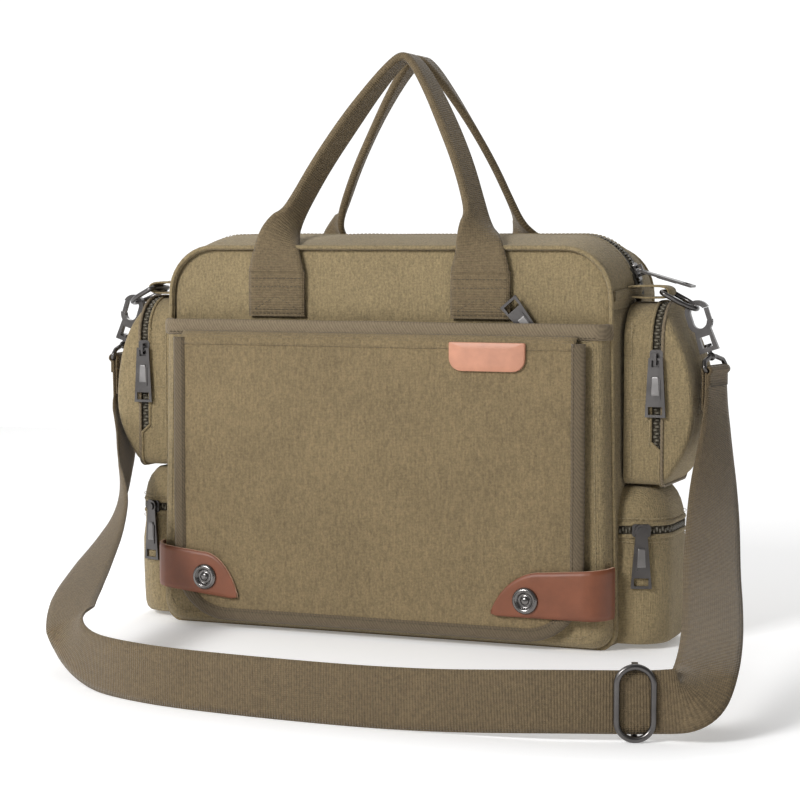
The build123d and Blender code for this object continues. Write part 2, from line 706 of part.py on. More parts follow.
MOUTH_AT, MOUTH = (7, -6), (12, 10)             # side opening that the gate closes
GATE_ROOM_AT, GATE_ROOM = (GATE_X + 1.2, GATE_Z - 0.6), (7.6, 4.6)
GATE_TOP, GATE_W, GATE_KNUCKLE_R = -1.4, 3.4, 2.1
SIDE_GAP = 0.3          # clearance on each side of the gate and above the swivel's head
with BuildPart() as hook:
    with BuildSketch(hook_plane):
        with Locations((0, (EYE_TOP + EYE_LOW) / 2)):
            SlotCenterToCenter(EYE_TOP - EYE_LOW, 2 * EYE_OUT, rotation=90)
        with BuildLine():
            Polyline(
                (-NECK_HALF, NECK_Z),
                (NECK_HALF, NECK_Z),
                (BASE_HALF, HOOK_BASE),
                (-BASE_HALF, HOOK_BASE),
                close=True,
            )
        make_face()
        with Locations((0, (EYE_TOP + EYE_LOW) / 2)):
            SlotCenterToCenter(EYE_TOP - EYE_LOW, 2 * EYE_IN, rotation=90, mode=Mode.SUBTRACT)
        with Locations(MOUTH_AT):
            Rectangle(*MOUTH, mode=Mode.SUBTRACT)
        with Locations((0, (WINDOW_TOP + WINDOW_BASE) / 2)):
            Rectangle(WINDOW_W, WINDOW_TOP - WINDOW_BASE, mode=Mode.SUBTRACT)
    extrude(amount=HOOK_T / 2, both=True)
    with BuildSketch(hook_plane):
        with Locations(GATE_ROOM_AT):
            Rectangle(*GATE_ROOM)
    extrude(amount=GATE_T / 2 + SIDE_GAP, both=True, mode=Mode.SUBTRACT)
    with BuildSketch(hook_plane):
        with Locations((GATE_X, GATE_Z)):
            Circle(GATE_PIN_R)
    extrude(amount=HOOK_T / 2, both=True)
    with BuildSketch(Plane(origin=hook_plane.from_local_coords((0, HOOK_BASE, 0)), z_dir=hook_up)):
        Circle(SWIVEL_R + SWIVEL_FIT)
    extrude(amount=WINDOW_BASE - HOOK_BASE + 1, mode=Mode.SUBTRACT)
finish_pair(hook, "hook")

with BuildPart() as hook_gate:
    with BuildSketch(hook_plane):
        with Locations((GATE_X, (GATE_Z + GATE_TOP) / 2)):
            Rectangle(GATE_W, GATE_TOP - GATE_Z)
        with Locations((GATE_X, GATE_Z)):
            Circle(GATE_KNUCKLE_R)
            Circle(GATE_PIN_R + GATE_FIT, mode=Mode.SUBTRACT)
    extrude(amount=GATE_T / 2, both=True)
finish_pair(hook_gate, "hook_gate")

# Strap ring: a headed stud that turns in the hook's base, a ball, and a wide ring for the strap
SWIVEL_BALL = -38
ball = hook_plane.from_local_coords((0, SWIVEL_BALL, 0))
across = Vector(0.15, 0.99, 0).normalized()
ring_up = (ball - STRAP_BAR - across * (ball - STRAP_BAR).dot(across)).normalized()
ring_plane = Plane(origin=STRAP_BAR, x_dir=across, z_dir=across.cross(ring_up))
ring_rise = (ball - STRAP_BAR).dot(ring_up)
BAR_HALF, RING_WIRE_R, BALL_R = 23, 1.8, 3.2
RING_TOP_HALF = 5
RING_CORNER_R = 2.5
SWIVEL_HEAD_R, SWIVEL_HEAD_T = 3, 2
shoulder = (0.8 * BAR_HALF, 0.7 * ring_rise)
with BuildPart() as strap_ring:
    with BuildLine(ring_plane) as ring_path:
        FilletPolyline(
            (-BAR_HALF, 0),
            (BAR_HALF, 0),
            shoulder,
            (RING_TOP_HALF, ring_rise),
            (-RING_TOP_HALF, ring_rise),
            (-shoulder[0], shoulder[1]),
            radius=RING_CORNER_R,
            close=True,
        )
    ring_wire = ring_path.wires()[0]
    with BuildSketch(Plane(origin=ring_wire @ 0, z_dir=ring_wire % 0)):
        Circle(RING_WIRE_R)
    sweep(path=ring_wire)
    with Locations(ball):
        Sphere(BALL_R)
    with BuildSketch(Plane(origin=ball, z_dir=hook_up)):
        Circle(SWIVEL_R)
    extrude(amount=WINDOW_BASE - SWIVEL_BALL + SIDE_GAP)
    head_at = hook_plane.from_local_coords((0, WINDOW_BASE + SIDE_GAP, 0))
    with BuildSketch(Plane(origin=head_at, z_dir=hook_up)):
        Circle(SWIVEL_HEAD_R)
    extrude(amount=SWIVEL_HEAD_T)
finish_pair(strap_ring, "strap_ring")

# ---------------------------------------------------------------- shoulder strap

# Each point: x, y, z of the strap's middle, and the direction from its one edge to the other.
# The strap hangs from its rings, falls forwards, rolls over a slanting crease at each side,
# and stands on its edge along the floor in front of the bag.
UPRIGHT = Vector(0, 0, 1)
RIGHT_ROUTE = (
    (256, -17, 210.9, Vector(0.15, 0.99, 0)),
    (257, -19, 190, Vector(0.18, 0.98, 0)),
    (260, -28, 168, Vector(0.25, 0.97, 0)),
    (264, -46, 146, Vector(0.35, 0.94, 0)),
    (270, -78, 123, Vector(0.5, 0.87, 0)),
    (279, -119, 102, Vector(0.65, 0.76, 0)),
    (290, -168, 82, Vector(0.8, 0.6, 0)),
    (304, -222, 66, Vector(0.9, 0.42, 0)),
    (316, -275, 53, Vector(0.94, 0.33, 0)),
    (322, -314, 42, Vector(0.95, 0.27, 0.1)),
)
RIGHT_CREASE = (320, -334, 28, Vector(0.66, -0.1, 0.74))
LEFT_ROUTE = (
    (-256, -17, 210.9, Vector(0.15, -0.99, 0)),
    (-255.5, -17, 190, Vector(0.15, -0.99, 0)),
    (-254.5, -18, 170, Vector(0.15, -0.99, 0)),
    (-243, -34, 148, Vector(0.22, -0.97, 0)),
    (-228, -66, 124, Vector(0.34, -0.94, 0)),
    (-208, -108, 101, Vector(0.48, -0.87, 0)),
    (-192, -158, 81, Vector(0.62, -0.78, 0)),
    (-178, -208, 65, Vector(0.75, -0.66, 0)),
    (-162, -258, 52, Vector(0.86, -0.5, 0)),
    (-147, -293, 41, Vector(0.9, -0.4, 0.1)),
)
LEFT_CREASE = (-132, -315, 28, Vector(0.6, -0.3, 0.75))
# Along the floor, from left to right: x, y and the height of the lower edge
FLOOR_ROUTE = (
    (-108, -331, 0.3),
    (-76, -348, 0.3),
    (-35, -360, 0.3),
    (10, -365, 0.3),
    (60, -368, 0.3),
    (112, -368.5, 0.3),
    (160, -366, 1),
    (200, -363, 3),
    (235, -358.5, 4.8),
    (300, -336, 4.8),
)
RIGHT_CREASE_W, LEFT_CREASE_W = 52, 42


def strap_station(x, y, z, across, width=STRAP_W):
    """One section of the strap."""
    return (Vector(x, y, z), across, width, STRAP_T)


left_drop = [strap_station(*point) for point in LEFT_ROUTE]
left_crease = strap_station(*LEFT_CREASE, LEFT_CREASE_W)
floor_run = [strap_station(x, y, z + STRAP_W / 2, UPRIGHT) for x, y, z in FLOOR_ROUTE]
right_crease = strap_station(*RIGHT_CREASE, RIGHT_CREASE_W)
right_drop = [strap_station(*point) for point in RIGHT_ROUTE]


# Adjuster: an oval ring in front of the strap, and a bar behind it
RIM_R, BAR_BACK_R, RIM_GAP = 2, 1.8, 0.3
ADJUSTER_H, ADJUSTER_W = 49.6, 27
run_start, run_end = floor_run[-2][0], floor_run[-1][0]
run_along = (run_end - run_start).normalized()
run_out = run_along.cross(UPRIGHT)
ADJUSTER_AT = 0.745     # how far along its straight run the adjuster sits
on_strap = run_start + (run_end - run_start) * ADJUSTER_AT
rim_out = STRAP_T / 2 + RIM_GAP + RIM_R
bar_out = -(STRAP_T / 2 + RIM_GAP + BAR_BACK_R)

with BuildPart() as adjuster:
    rim_plane = Plane(origin=on_strap + run_out * rim_out, x_dir=run_along, z_dir=run_out)
    with BuildLine(rim_plane):
        rim_x, rim_y = ADJUSTER_W / 2 - RIM_R, ADJUSTER_H / 2 - RIM_R
        side_y = rim_y - rim_x
        Line((rim_x, -side_y), (rim_x, side_y))
        CenterArc((0, side_y), rim_x, 0, 180)
        Line((-rim_x, side_y), (-rim_x, -side_y))
        CenterArc((0, -side_y), rim_x, 180, 180)
    with BuildSketch(Plane(origin=rim_plane.from_local_coords((rim_x, 0, 0)), z_dir=UPRIGHT)):
        Circle(RIM_R)
    sweep()
    with BuildSketch(Plane(origin=on_strap + run_out * bar_out, z_dir=UPRIGHT)):
        Circle(BAR_BACK_R)
    extrude(amount=rim_y, both=True)
    for end in (-1, 1):
        across_strap = Plane(
            origin=on_strap + UPRIGHT * (end * rim_y) + run_out * (bar_out - BAR_BACK_R),
            x_dir=run_along,
            z_dir=run_out,
        )
        with BuildSketch(across_strap):
            Rectangle(4, 3.2)
        extrude(amount=rim_out - bar_out + BAR_BACK_R)
finish(adjuster, "adjuster")

strap_outlines = sections([*left_drop, left_crease, *floor_run, right_crease, *reversed(right_drop)])
left_end = len(left_drop)
right_start = left_end + len(floor_run) + 1
finish(ribbon(strap_outlines[: left_end + 1]), "strap_left")
finish(ribbon(strap_outlines[left_end : right_start + 1]), "strap_front")
finish(ribbon(strap_outlines[right_start:]), "strap_right")
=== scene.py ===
"""Canvas messenger bag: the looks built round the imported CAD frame. Lengths are in millimetres
until a mesh is made, which scales them to metres. The strap's route and the bands are in metres."""

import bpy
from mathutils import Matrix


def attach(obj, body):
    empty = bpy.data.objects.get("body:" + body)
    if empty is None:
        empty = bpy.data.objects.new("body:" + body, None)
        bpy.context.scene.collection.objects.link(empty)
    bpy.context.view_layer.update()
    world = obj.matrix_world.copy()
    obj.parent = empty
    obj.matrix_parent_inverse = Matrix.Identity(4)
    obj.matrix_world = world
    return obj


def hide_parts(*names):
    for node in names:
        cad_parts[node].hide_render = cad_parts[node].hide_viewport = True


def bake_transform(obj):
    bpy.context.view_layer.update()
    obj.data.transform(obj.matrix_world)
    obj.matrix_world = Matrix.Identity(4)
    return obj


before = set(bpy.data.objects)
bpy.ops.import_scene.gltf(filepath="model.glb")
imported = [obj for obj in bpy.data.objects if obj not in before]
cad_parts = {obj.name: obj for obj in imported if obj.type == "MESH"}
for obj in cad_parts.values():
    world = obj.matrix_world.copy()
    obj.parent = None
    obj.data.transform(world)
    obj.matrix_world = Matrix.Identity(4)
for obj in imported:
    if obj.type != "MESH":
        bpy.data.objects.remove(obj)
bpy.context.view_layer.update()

import math

import bpy
import numpy as np
from mathutils import Vector, noise

MM = 0.001
BODY = "bag"
SIDES = {"left": -1, "right": 1}

# ------------------------------------------------------------------ camera

CAMERA_DOWN, CAMERA_TURN = 4.18, 21.64  # degrees

scene = bpy.context.scene
camera = bpy.data.objects.new("camera", bpy.data.cameras.new("camera"))
camera.location = (0.6328, -1.6173, 0.309)
camera.rotation_euler = (math.radians(90 - CAMERA_DOWN), 0, math.radians(CAMERA_TURN))
camera.data.lens = 96.57
camera.data.sensor_width = 36
scene.collection.objects.link(camera)
scene.camera = camera

# ------------------------------------------------------------------ mesh helpers


def make_object(name, verts, faces, body=BODY, smooth=True):
    """A mesh object from points in millimetres, riding on a CAD body (body=None leaves it free)."""
    mesh = bpy.data.meshes.new(name)
    mesh.from_pydata((np.asarray(verts, float) * MM).tolist(), [], faces)
    mesh.polygons.foreach_set("use_smooth", [smooth] * len(mesh.polygons))
    mesh.update()
    piece = bpy.data.objects.new(name, mesh)
    scene.collection.objects.link(piece)
    if body:
        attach(piece, body)
    return piece


def grid_faces(rows, columns, close_rows=False, close_columns=False, keep=None):
    """Quads over a rows by columns grid of points; keep(row, column) can leave some out."""
    faces = []
    for i in range(rows if close_rows else rows - 1):
        for j in range(columns if close_columns else columns - 1):
            if keep and not keep(i, j):
                continue
            i1, j1 = (i + 1) % rows, (j + 1) % columns
            faces.append((i * columns + j, i * columns + j1, i1 * columns + j1, i1 * columns + j))
    return faces


def sheet_object(name, grid, thickness, body=BODY, offset=-1.0, keep=None, caps=False, **close):
    """A sheet from a (rows, columns, 3) grid, thickened by a modifier."""
    grid = np.asarray(grid, float)
    rows, columns = grid.shape[:2]
    faces = grid_faces(rows, columns, keep=keep, **close)
    if caps:
        faces += [tuple(range(columns)), tuple((rows - 1) * columns + j for j in reversed(range(columns)))]
    piece = make_object(name, grid.reshape(-1, 3), faces, body)
    if thickness:
        thicken(piece, thickness, offset)
    return piece


def thicken(piece, thickness, offset):
    """Gives a sheet its thickness: along its normals at offset 1, against them at -1."""
    solid = piece.modifiers.new("thickness", "SOLIDIFY")
    solid.thickness = thickness * MM
    solid.offset = offset
    solid.use_even_offset = True


def paint(piece, *materials):
    """Gives a piece its materials."""
    piece.data.materials.clear()
    for material in materials:
        piece.data.materials.append(material)
    return piece


def dress(piece, material, slot_name, *nodes):
    """Gives a new piece its material and hides the CAD nodes that it stands for; slot_name is not used."""
    paint(piece, material)
    if nodes:
        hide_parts(*nodes)
    return piece


def ripple(point, size, strength, seed=0.0):
    """Smooth noise at a point in millimetres."""
    return strength * noise.noise(Vector((point[0] / size, point[1] / size + seed, point[2] / size)))


def rounded(corners, radii, straight=16, arc=8):
    """A closed outline: the same count of points on each side and corner, whatever its size."""
    corners = [np.array(c, float) for c in corners]
    count = len(corners)
    outline = []
    for i, corner in enumerate(corners):
        before = corners[i - 1] - corner
        after = corners[(i + 1) % count] - corner
        before /= np.linalg.norm(before)
        after /= np.linalg.norm(after)
        half = math.acos(np.clip(before @ after, -1, 1)) / 2
        reach = radii[i] / math.tan(half)
        centre = corner + (before + after) / np.linalg.norm(before + after) * radii[i] / math.sin(half)
        start, end = corner + before * reach - centre, corner + after * reach - centre
        bend = math.pi - 2 * half
        for k in range(arc + 1):
            t = k / arc
            spoke = math.sin((1 - t) * bend) * start + math.sin(t * bend) * end
            outline.append(centre + spoke / math.sin(bend))
        nxt = corners[(i + 1) % count]
        back = -after
        ahead = corners[(i + 2) % count] - nxt
        ahead /= np.linalg.norm(ahead)
        half_next = math.acos(np.clip(back @ ahead, -1, 1)) / 2
        leave, arrive = corner + after * reach, nxt + back * radii[(i + 1) % count] / math.tan(half_next)
        for k in range(1, straight):
            outline.append(leave + (arrive - leave) * k / straight)
    return np.array(outline)


def distances(points):
    """How far along a polyline each of its points is."""
    return np.concatenate([[0], np.cumsum(np.linalg.norm(np.diff(points, axis=0), axis=1))])


def along(points, count=None, step=None):
    """Points evenly spaced along a polyline."""
    points = np.asarray(points, float)
    far = distances(points)
    count = count or max(2, int(round(far[-1] / step)) + 1)
    where = np.linspace(0, far[-1], count)
    return np.stack([np.interp(where, far, points[:, k]) for k in range(points.shape[1])], axis=1)


def smooth_rows(rows, times=2):
    """Rounds a table of rows by repeated corner cutting, keeping its ends."""
    rows = np.asarray(rows, float)
    for _ in range(times):
        a = rows[:-1] * 0.75 + rows[1:] * 0.25
        b = rows[:-1] * 0.25 + rows[1:] * 0.75
        inner = np.empty((2 * len(a), rows.shape[1]))
        inner[0::2], inner[1::2] = a, b
        rows = np.vstack([rows[:1], inner, rows[-1:]])
    return rows


def unit(v):
    v = np.asarray(v, float)
    return v / np.maximum(np.linalg.norm(v, axis=-1, keepdims=True), 1e-9)


def tangents(points):
    return unit(np.gradient(np.asarray(points, float), axis=0))


def closed_tangents(ring):
    return unit(np.roll(ring, -1, axis=0) - np.roll(ring, 1, axis=0))


def facing(normals, side):
    """Turns a row of normals over, if need be, so that its middle points away from the bag."""
    return -normals if normals[len(normals) // 2][0] * side < 0 else normals


def sweep(name, path, section, across, out, body=BODY):
    """A section of (across, out) pairs carried along a path; across and out give its directions."""
    path, section = np.asarray(path, float), np.asarray(section, float)
    across = np.broadcast_to(np.asarray(across, float), path.shape)
    out = np.broadcast_to(np.asarray(out, float), path.shape)
    grid = path[:, None] + section[None, :, :1] * across[:, None] + section[None, :, 1:] * out[:, None]
    return sheet_object(name, grid, 0, body, close_columns=True, caps=True)


def tube(name, ring, radius, first, second, lowest=None):
    """A round cord along a closed ring of points; first and second span its section."""
    angles = np.linspace(0, math.tau, 8, endpoint=False)
    second = np.broadcast_to(np.asarray(second, float), ring.shape)
    spokes = np.cos(angles)[None, :, None] * first[:, None] + np.sin(angles)[None, :, None] * second[:, None]
    grid = ring[:, None] + radius * spokes
    if lowest is not None:
        grid[..., 2] = np.maximum(grid[..., 2], lowest)
    return sheet_object(name, grid, 0, close_rows=True, close_columns=True)


def capsule():
    """A block with rounded ends: its corners within 1 of its middle, and its faces."""
    ring = [(math.cos(a), math.sin(a)) for a in np.linspace(0, math.tau, 6, endpoint=False)]
    corners = [(x, r * c, r * s) for x, r in ((-1, 0.35), (-0.55, 1), (0.55, 1), (1, 0.35)) for c, s in ring]
    faces = grid_faces(4, 6, close_columns=True)
    return corners, faces + [tuple(range(6)), tuple(reversed(range(18, 24)))]


def scatter(name, centres, long_axis, up_axis, size, shape, body=BODY):
    """Many small blocks of one shape and size: stitches or zip teeth."""
    corners, faces = shape
    corners = np.array(corners, float) * np.array(size) / 2
    centres = np.asarray(centres, float)
    long_axis = unit(np.broadcast_to(np.asarray(long_axis, float), centres.shape))
    up_axis = unit(np.broadcast_to(np.asarray(up_axis, float), centres.shape))
    side_axis = unit(np.cross(up_axis, long_axis))
    verts = (
        centres[:, None]
        + corners[None, :, :1] * long_axis[:, None]
        + corners[None, :, 1:2] * side_axis[:, None]
        + corners[None, :, 2:] * up_axis[:, None]
    )
    count = len(corners)
    all_faces = [tuple(i * count + k for k in face) for i in range(len(centres)) for face in faces]
    return make_object(name, verts.reshape(-1, 3), all_faces, body)


STITCH_PITCH, STITCH = 3.4, (2.5, 0.75, 0.55)


def stitches(name, lines, up, body=BODY, material=None):
    """Rows of stitches along polylines that lie on a surface; up is the surface's normal."""
    centres, axes = [], []
    for line in lines:
        points = along(line, step=STITCH_PITCH)
        middles = (points[1:] + points[:-1]) / 2
        centres.append(middles)
        axes.append(points[1:] - points[:-1])
    piece = scatter(name, np.concatenate(centres), np.concatenate(axes), up, STITCH, capsule(), body)
    return paint(piece, material or THREAD)


# ------------------------------------------------------------------ materials


def material_base(name, roughness, metallic=0.0, **sockets):
    """A node material and its shader."""
    material = bpy.data.materials.new(name)
    material.use_nodes = True
    nodes = material.node_tree.nodes
    nodes.clear()
    shader = nodes.new("ShaderNodeBsdfPrincipled")
    output = nodes.new("ShaderNodeOutputMaterial")
    material.node_tree.links.new(shader.outputs[0], output.inputs[0])
    shader.inputs["Roughness"].default_value = roughness
    shader.inputs["Metallic"].default_value = metallic
    for socket, value in sockets.items():
        shader.inputs[socket.replace("_", " ")].default_value = value
    return material, shader


class Nodes:
    """Short names for building a node tree."""

    def __init__(self, material):
        self.tree = material.node_tree

    def add(self, kind, inputs=None, **settings):
        node = self.tree.nodes.new(kind)
        for key, value in settings.items():
            setattr(node, key, value)
        for key, value in (inputs or {}).items():
            if hasattr(value, "is_output"):
                self.tree.links.new(value, node.inputs[key])
            else:
                node.inputs[key].default_value = value
        return node

    def link(self, a, b):
        self.tree.links.new(a, b)

    def position(self, scale=(1, 1, 1)):
        """The object's own coordinates in metres, stretched by scale along each axis."""
        coords = self.add("ShaderNodeTexCoord")
        return self.add("ShaderNodeMapping", {"Vector": coords.outputs["Object"], "Scale": scale}).outputs[0]

    def noise(self, vector, scale, detail, roughness):
        inputs = {"Vector": vector, "Scale": scale, "Detail": detail, "Roughness": roughness}
        return self.add("ShaderNodeTexNoise", inputs).outputs["Fac"]

    def wave(self, vector, scale, direction, distortion):
        inputs = {"Vector": vector, "Scale": scale, "Distortion": distortion, "Detail": 1.0}
        return self.add("ShaderNodeTexWave", inputs, bands_direction=direction).outputs["Fac"]

    def tones(self, factor, colour, dark, light, low=0.3, high=0.7):
        """A ramp from a darker to a lighter shade of one colour."""
        node = self.add("ShaderNodeValToRGB", {"Fac": factor})
        for element, position, share in zip(node.color_ramp.elements, (low, high), (dark, light)):
            element.position = position
            element.color = (*shade(colour, share), 1)
        return node.outputs[0]

    def math(self, operation, a, b):
        return self.add("ShaderNodeMath", {0: a, 1: b}, operation=operation).outputs[0]

    def mix(self, factor, a, b):
        return self.add("ShaderNodeMix", {"Factor": factor, 6: a, 7: b}, data_type="RGBA").outputs[2]

    def spread(self, factor, low, high):
        """A factor brought into the range from low to high."""
        return self.add("ShaderNodeMapRange", {"Value": factor, "To Min": low, "To Max": high}).outputs[0]

    def bump(self, height, strength, distance):
        inputs = {"Height": height, "Strength": strength, "Distance": distance}
        return self.add("ShaderNodeBump", inputs).outputs[0]


def shade(colour, factor):
    """A colour made lighter or darker."""
    return tuple(min(1.0, c * factor) for c in colour)


def canvas_material(name, colour):
    """Washed canvas: a fine weave, slubs along the warp, and soft worn patches."""
    material, shader = material_base(name, 0.92, Sheen_Weight=0.12, Sheen_Roughness=0.5)
    n = Nodes(material)
    plain = n.position()
    slub = n.noise(n.position((620, 620, 130)), 1.0, 3.0, 0.7)
    speck = n.noise(plain, 520.0, 4.0, 0.85)
    patch = n.noise(plain, 14.0, 4.0, 0.6)
    tone = n.tones(slub, colour, 0.58, 1.42, 0.32, 0.68)
    tone = n.mix(0.5, tone, n.tones(speck, colour, 0.42, 1.6, 0.38, 0.62))
    tone = n.mix(0.22, tone, n.tones(patch, colour, 0.72, 1.3, 0.35, 0.65))
    n.link(tone, shader.inputs["Base Color"])
    weave = n.math("ADD", n.wave(plain, 260.0, "X", 2.0), n.wave(plain, 260.0, "Z", 2.0))
    weave = n.math("ADD", weave, n.wave(plain, 260.0, "Y", 2.0))
    height = n.math("ADD", n.math("MULTIPLY", weave, 0.25), n.math("ADD", slub, speck))
    n.link(n.bump(height, 0.8, 0.0008), shader.inputs["Normal"])
    return material


def twill_material(name, colour, scale=190.0):
    """Narrow woven tape with a slanting rib."""
    material, shader = material_base(name, 0.88, Sheen_Weight=0.15, Sheen_Roughness=0.4)
    n = Nodes(material)
    slant = math.radians(35)
    coords = n.add("ShaderNodeTexCoord").outputs["Object"]
    turned = n.add("ShaderNodeMapping", {"Vector": coords, "Rotation": (0.0, slant, slant)}).outputs[0]
    rib = n.wave(turned, scale, "X", 0.8)
    mottle = n.noise(n.position(), 420.0, 3.0, 0.6)
    tone = n.tones(rib, colour, 0.78, 1.18, 0.2, 0.8)
    tone = n.mix(0.4, tone, n.tones(mottle, colour, 0.75, 1.25))
    n.link(tone, shader.inputs["Base Color"])
    n.link(n.bump(rib, 0.5, 0.0005), shader.inputs["Normal"])
    return material


RIB, YARN = 1.9 * MM, 1.9 * 0.7 * MM
WAVE_TURN = 20.0  # radians that a wave texture turns per unit of length at scale 1


def webbing_material(name, colour):
    """Cotton webbing: ribs across the band, yarns along it. Its UV map is in metres."""
    material, shader = material_base(name, 0.85, Sheen_Weight=0.2, Sheen_Roughness=0.4)
    n = Nodes(material)
    uv = n.add("ShaderNodeUVMap", uv_map="band").outputs[0]
    ribs = n.wave(uv, math.tau / RIB / WAVE_TURN, "X", 0.6)
    yarns = n.wave(uv, math.tau / YARN / WAVE_TURN, "Y", 0.9)
    mottle = n.noise(n.position(), 420.0, 4.0, 0.8)
    patch = n.noise(n.position(), 30.0, 3.0, 0.5)
    tone = n.tones(ribs, colour, 0.62, 1.14, 0.1, 0.7)
    tone = n.mix(0.3, tone, n.tones(yarns, colour, 0.72, 1.2, 0.2, 0.8))
    tone = n.mix(0.5, tone, n.tones(mottle, colour, 0.4, 1.65, 0.38, 0.62))
    tone = n.mix(0.3, tone, n.tones(patch, colour, 0.85, 1.15))
    n.link(tone, shader.inputs["Base Color"])
    height = n.math("ADD", ribs, n.math("MULTIPLY", yarns, 0.5))
    n.link(n.bump(height, 0.6, 0.0006), shader.inputs["Normal"])
    return material


def leather_material(name, colour):
    """Smooth leather with a fine grain and faint blotches."""
    material, shader = material_base(name, 0.5, Coat_Weight=0.12, Coat_Roughness=0.35)
    n = Nodes(material)
    plain = n.position()
    blotch = n.noise(plain, 60.0, 4.0, 0.55)
    grain = n.add("ShaderNodeTexVoronoi", {"Vector": plain, "Scale": 900.0}).outputs["Distance"]
    n.link(n.tones(blotch, colour, 0.86, 1.12), shader.inputs["Base Color"])
    pores = n.math("ADD", grain, n.noise(plain, 500.0, 3.0, 0.6))
    n.link(n.bump(pores, 0.22, 0.0003), shader.inputs["Normal"])
    n.link(n.spread(blotch, 0.44, 0.58), shader.inputs["Roughness"])
    return material


def metal_material(name, colour, roughness):
    """Polished gunmetal with faint scuffs."""
    material, shader = material_base(name, roughness, 1.0)
    n = Nodes(material)
    scuff = n.noise(n.position(), 300.0, 4.0, 0.6)
    cloud = n.noise(n.position(), 90.0, 2.0, 0.5)
    n.link(n.tones(cloud, colour, 0.85, 1.12), shader.inputs["Base Color"])
    n.link(n.spread(scuff, roughness - 0.06, roughness + 0.14), shader.inputs["Roughness"])
    n.link(n.bump(scuff, 0.05, 0.0002), shader.inputs["Normal"])
    return material


def plain_material(name, colour, roughness):
    """A quiet surface with a little mottling."""
    material, shader = material_base(name, roughness)
    n = Nodes(material)
    mottle = n.noise(n.position(), 300.0, 3.0, 0.6)
    n.link(n.tones(mottle, colour, 0.8, 1.2), shader.inputs["Base Color"])
    n.link(n.bump(mottle, 0.2, 0.0003), shader.inputs["Normal"])
    return material


CANVAS = canvas_material("canvas", (0.258, 0.197, 0.102))
CANVAS_FLAP = canvas_material("canvas_flap", (0.208, 0.153, 0.077))
BINDING = twill_material("binding_tape", (0.185, 0.142, 0.088))
# The flap's edge tape is a darker twill than the other bindings: the tape's own colour plus painted shade for
# the shadow lines along the flap's edges.
FLAP_TAPE_SHADED = twill_material("flap_tape_painted_shade", (0.120, 0.090, 0.054))
WEBBING = webbing_material("handle_webbing", (0.150, 0.109, 0.057))
STRAP_WEB = webbing_material("strap_webbing", (0.130, 0.092, 0.047))
STRAP_LEATHER = leather_material("strap_leather", (0.200, 0.063, 0.027))
TAB_LEATHER = leather_material("tab_leather", (0.52, 0.24, 0.15))
CUT_EDGE = plain_material("cut_edge", (0.66, 0.42, 0.30), 0.8)
GUNMETAL = metal_material("gunmetal", (0.125, 0.118, 0.115), 0.27)
BRIGHT = metal_material("bright_gunmetal", (0.21, 0.20, 0.195), 0.22)
PALE_METAL = metal_material("pale_metal", (0.25, 0.24, 0.235), 0.4)
TAPE = twill_material("zip_tape", (0.050, 0.041, 0.026), 260.0)
TEETH = plain_material("zip_teeth", (0.13, 0.115, 0.085), 0.4)
THREAD = plain_material("thread", (0.30, 0.24, 0.14), 0.8)
DARK_THREAD = plain_material("dark_thread", (0.085, 0.064, 0.038), 0.8)
LINING = plain_material("lining", (0.05, 0.042, 0.03), 0.95)

# ------------------------------------------------------------------ shoulder strap

STRAP_W, STRAP_T = 0.040, 0.0022
# Control points of the strap's middle in metres, ring to ring, each with the way its width lies:
# down the left side, along the floor, up the right side.
STRAP_ROUTE = (
    (-0.2560, -0.017, 0.2109, (0.15, -0.99, 0)),
    (-0.2555, -0.017, 0.190, (0.15, -0.99, 0)),
    (-0.2545, -0.018, 0.170, (0.15, -0.99, 0)),
    (-0.243, -0.034, 0.148, (0.22, -0.97, 0)),
    (-0.228, -0.066, 0.124, (0.34, -0.94, 0)),
    (-0.208, -0.108, 0.101, (0.48, -0.87, 0)),
    (-0.192, -0.158, 0.081, (0.62, -0.78, 0)),
    (-0.178, -0.208, 0.065, (0.75, -0.66, 0)),
    (-0.162, -0.258, 0.052, (0.86, -0.5, 0)),
    (-0.147, -0.293, 0.041, (0.9, -0.4, 0.1)),
    (-0.132, -0.315, 0.028, (0.6, -0.3, 0.75)),
    (-0.108, -0.331, 0.0203, (0, 0, 1)),
    (-0.076, -0.348, 0.0203, (0, 0, 1)),
    (-0.035, -0.360, 0.0203, (0, 0, 1)),
    (0.010, -0.365, 0.0203, (0, 0, 1)),
    (0.060, -0.368, 0.0203, (0, 0, 1)),
    (0.112, -0.3685, 0.0203, (0, 0, 1)),
    (0.160, -0.366, 0.021, (0, 0, 1)),
    (0.200, -0.363, 0.023, (0, 0, 1)),
    (0.235, -0.3585, 0.0248, (0, 0, 1)),
    (0.300, -0.336, 0.0248, (0, 0, 1)),
    (0.320, -0.334, 0.028, (-0.66, 0.1, 0.74)),
    (0.322, -0.314, 0.042, (-0.95, -0.27, 0.1)),
    (0.316, -0.275, 0.053, (-0.94, -0.33, 0)),
    (0.304, -0.222, 0.066, (-0.9, -0.42, 0)),
    (0.290, -0.168, 0.082, (-0.8, -0.6, 0)),
    (0.279, -0.119, 0.102, (-0.65, -0.76, 0)),
    (0.270, -0.078, 0.123, (-0.5, -0.87, 0)),
    (0.264, -0.046, 0.146, (-0.35, -0.94, 0)),
    (0.260, -0.028, 0.168, (-0.25, -0.97, 0)),
    (0.257, -0.019, 0.190, (-0.18, -0.98, 0)),
    (0.256, -0.017, 0.2109, (-0.15, -0.99, 0)),
)


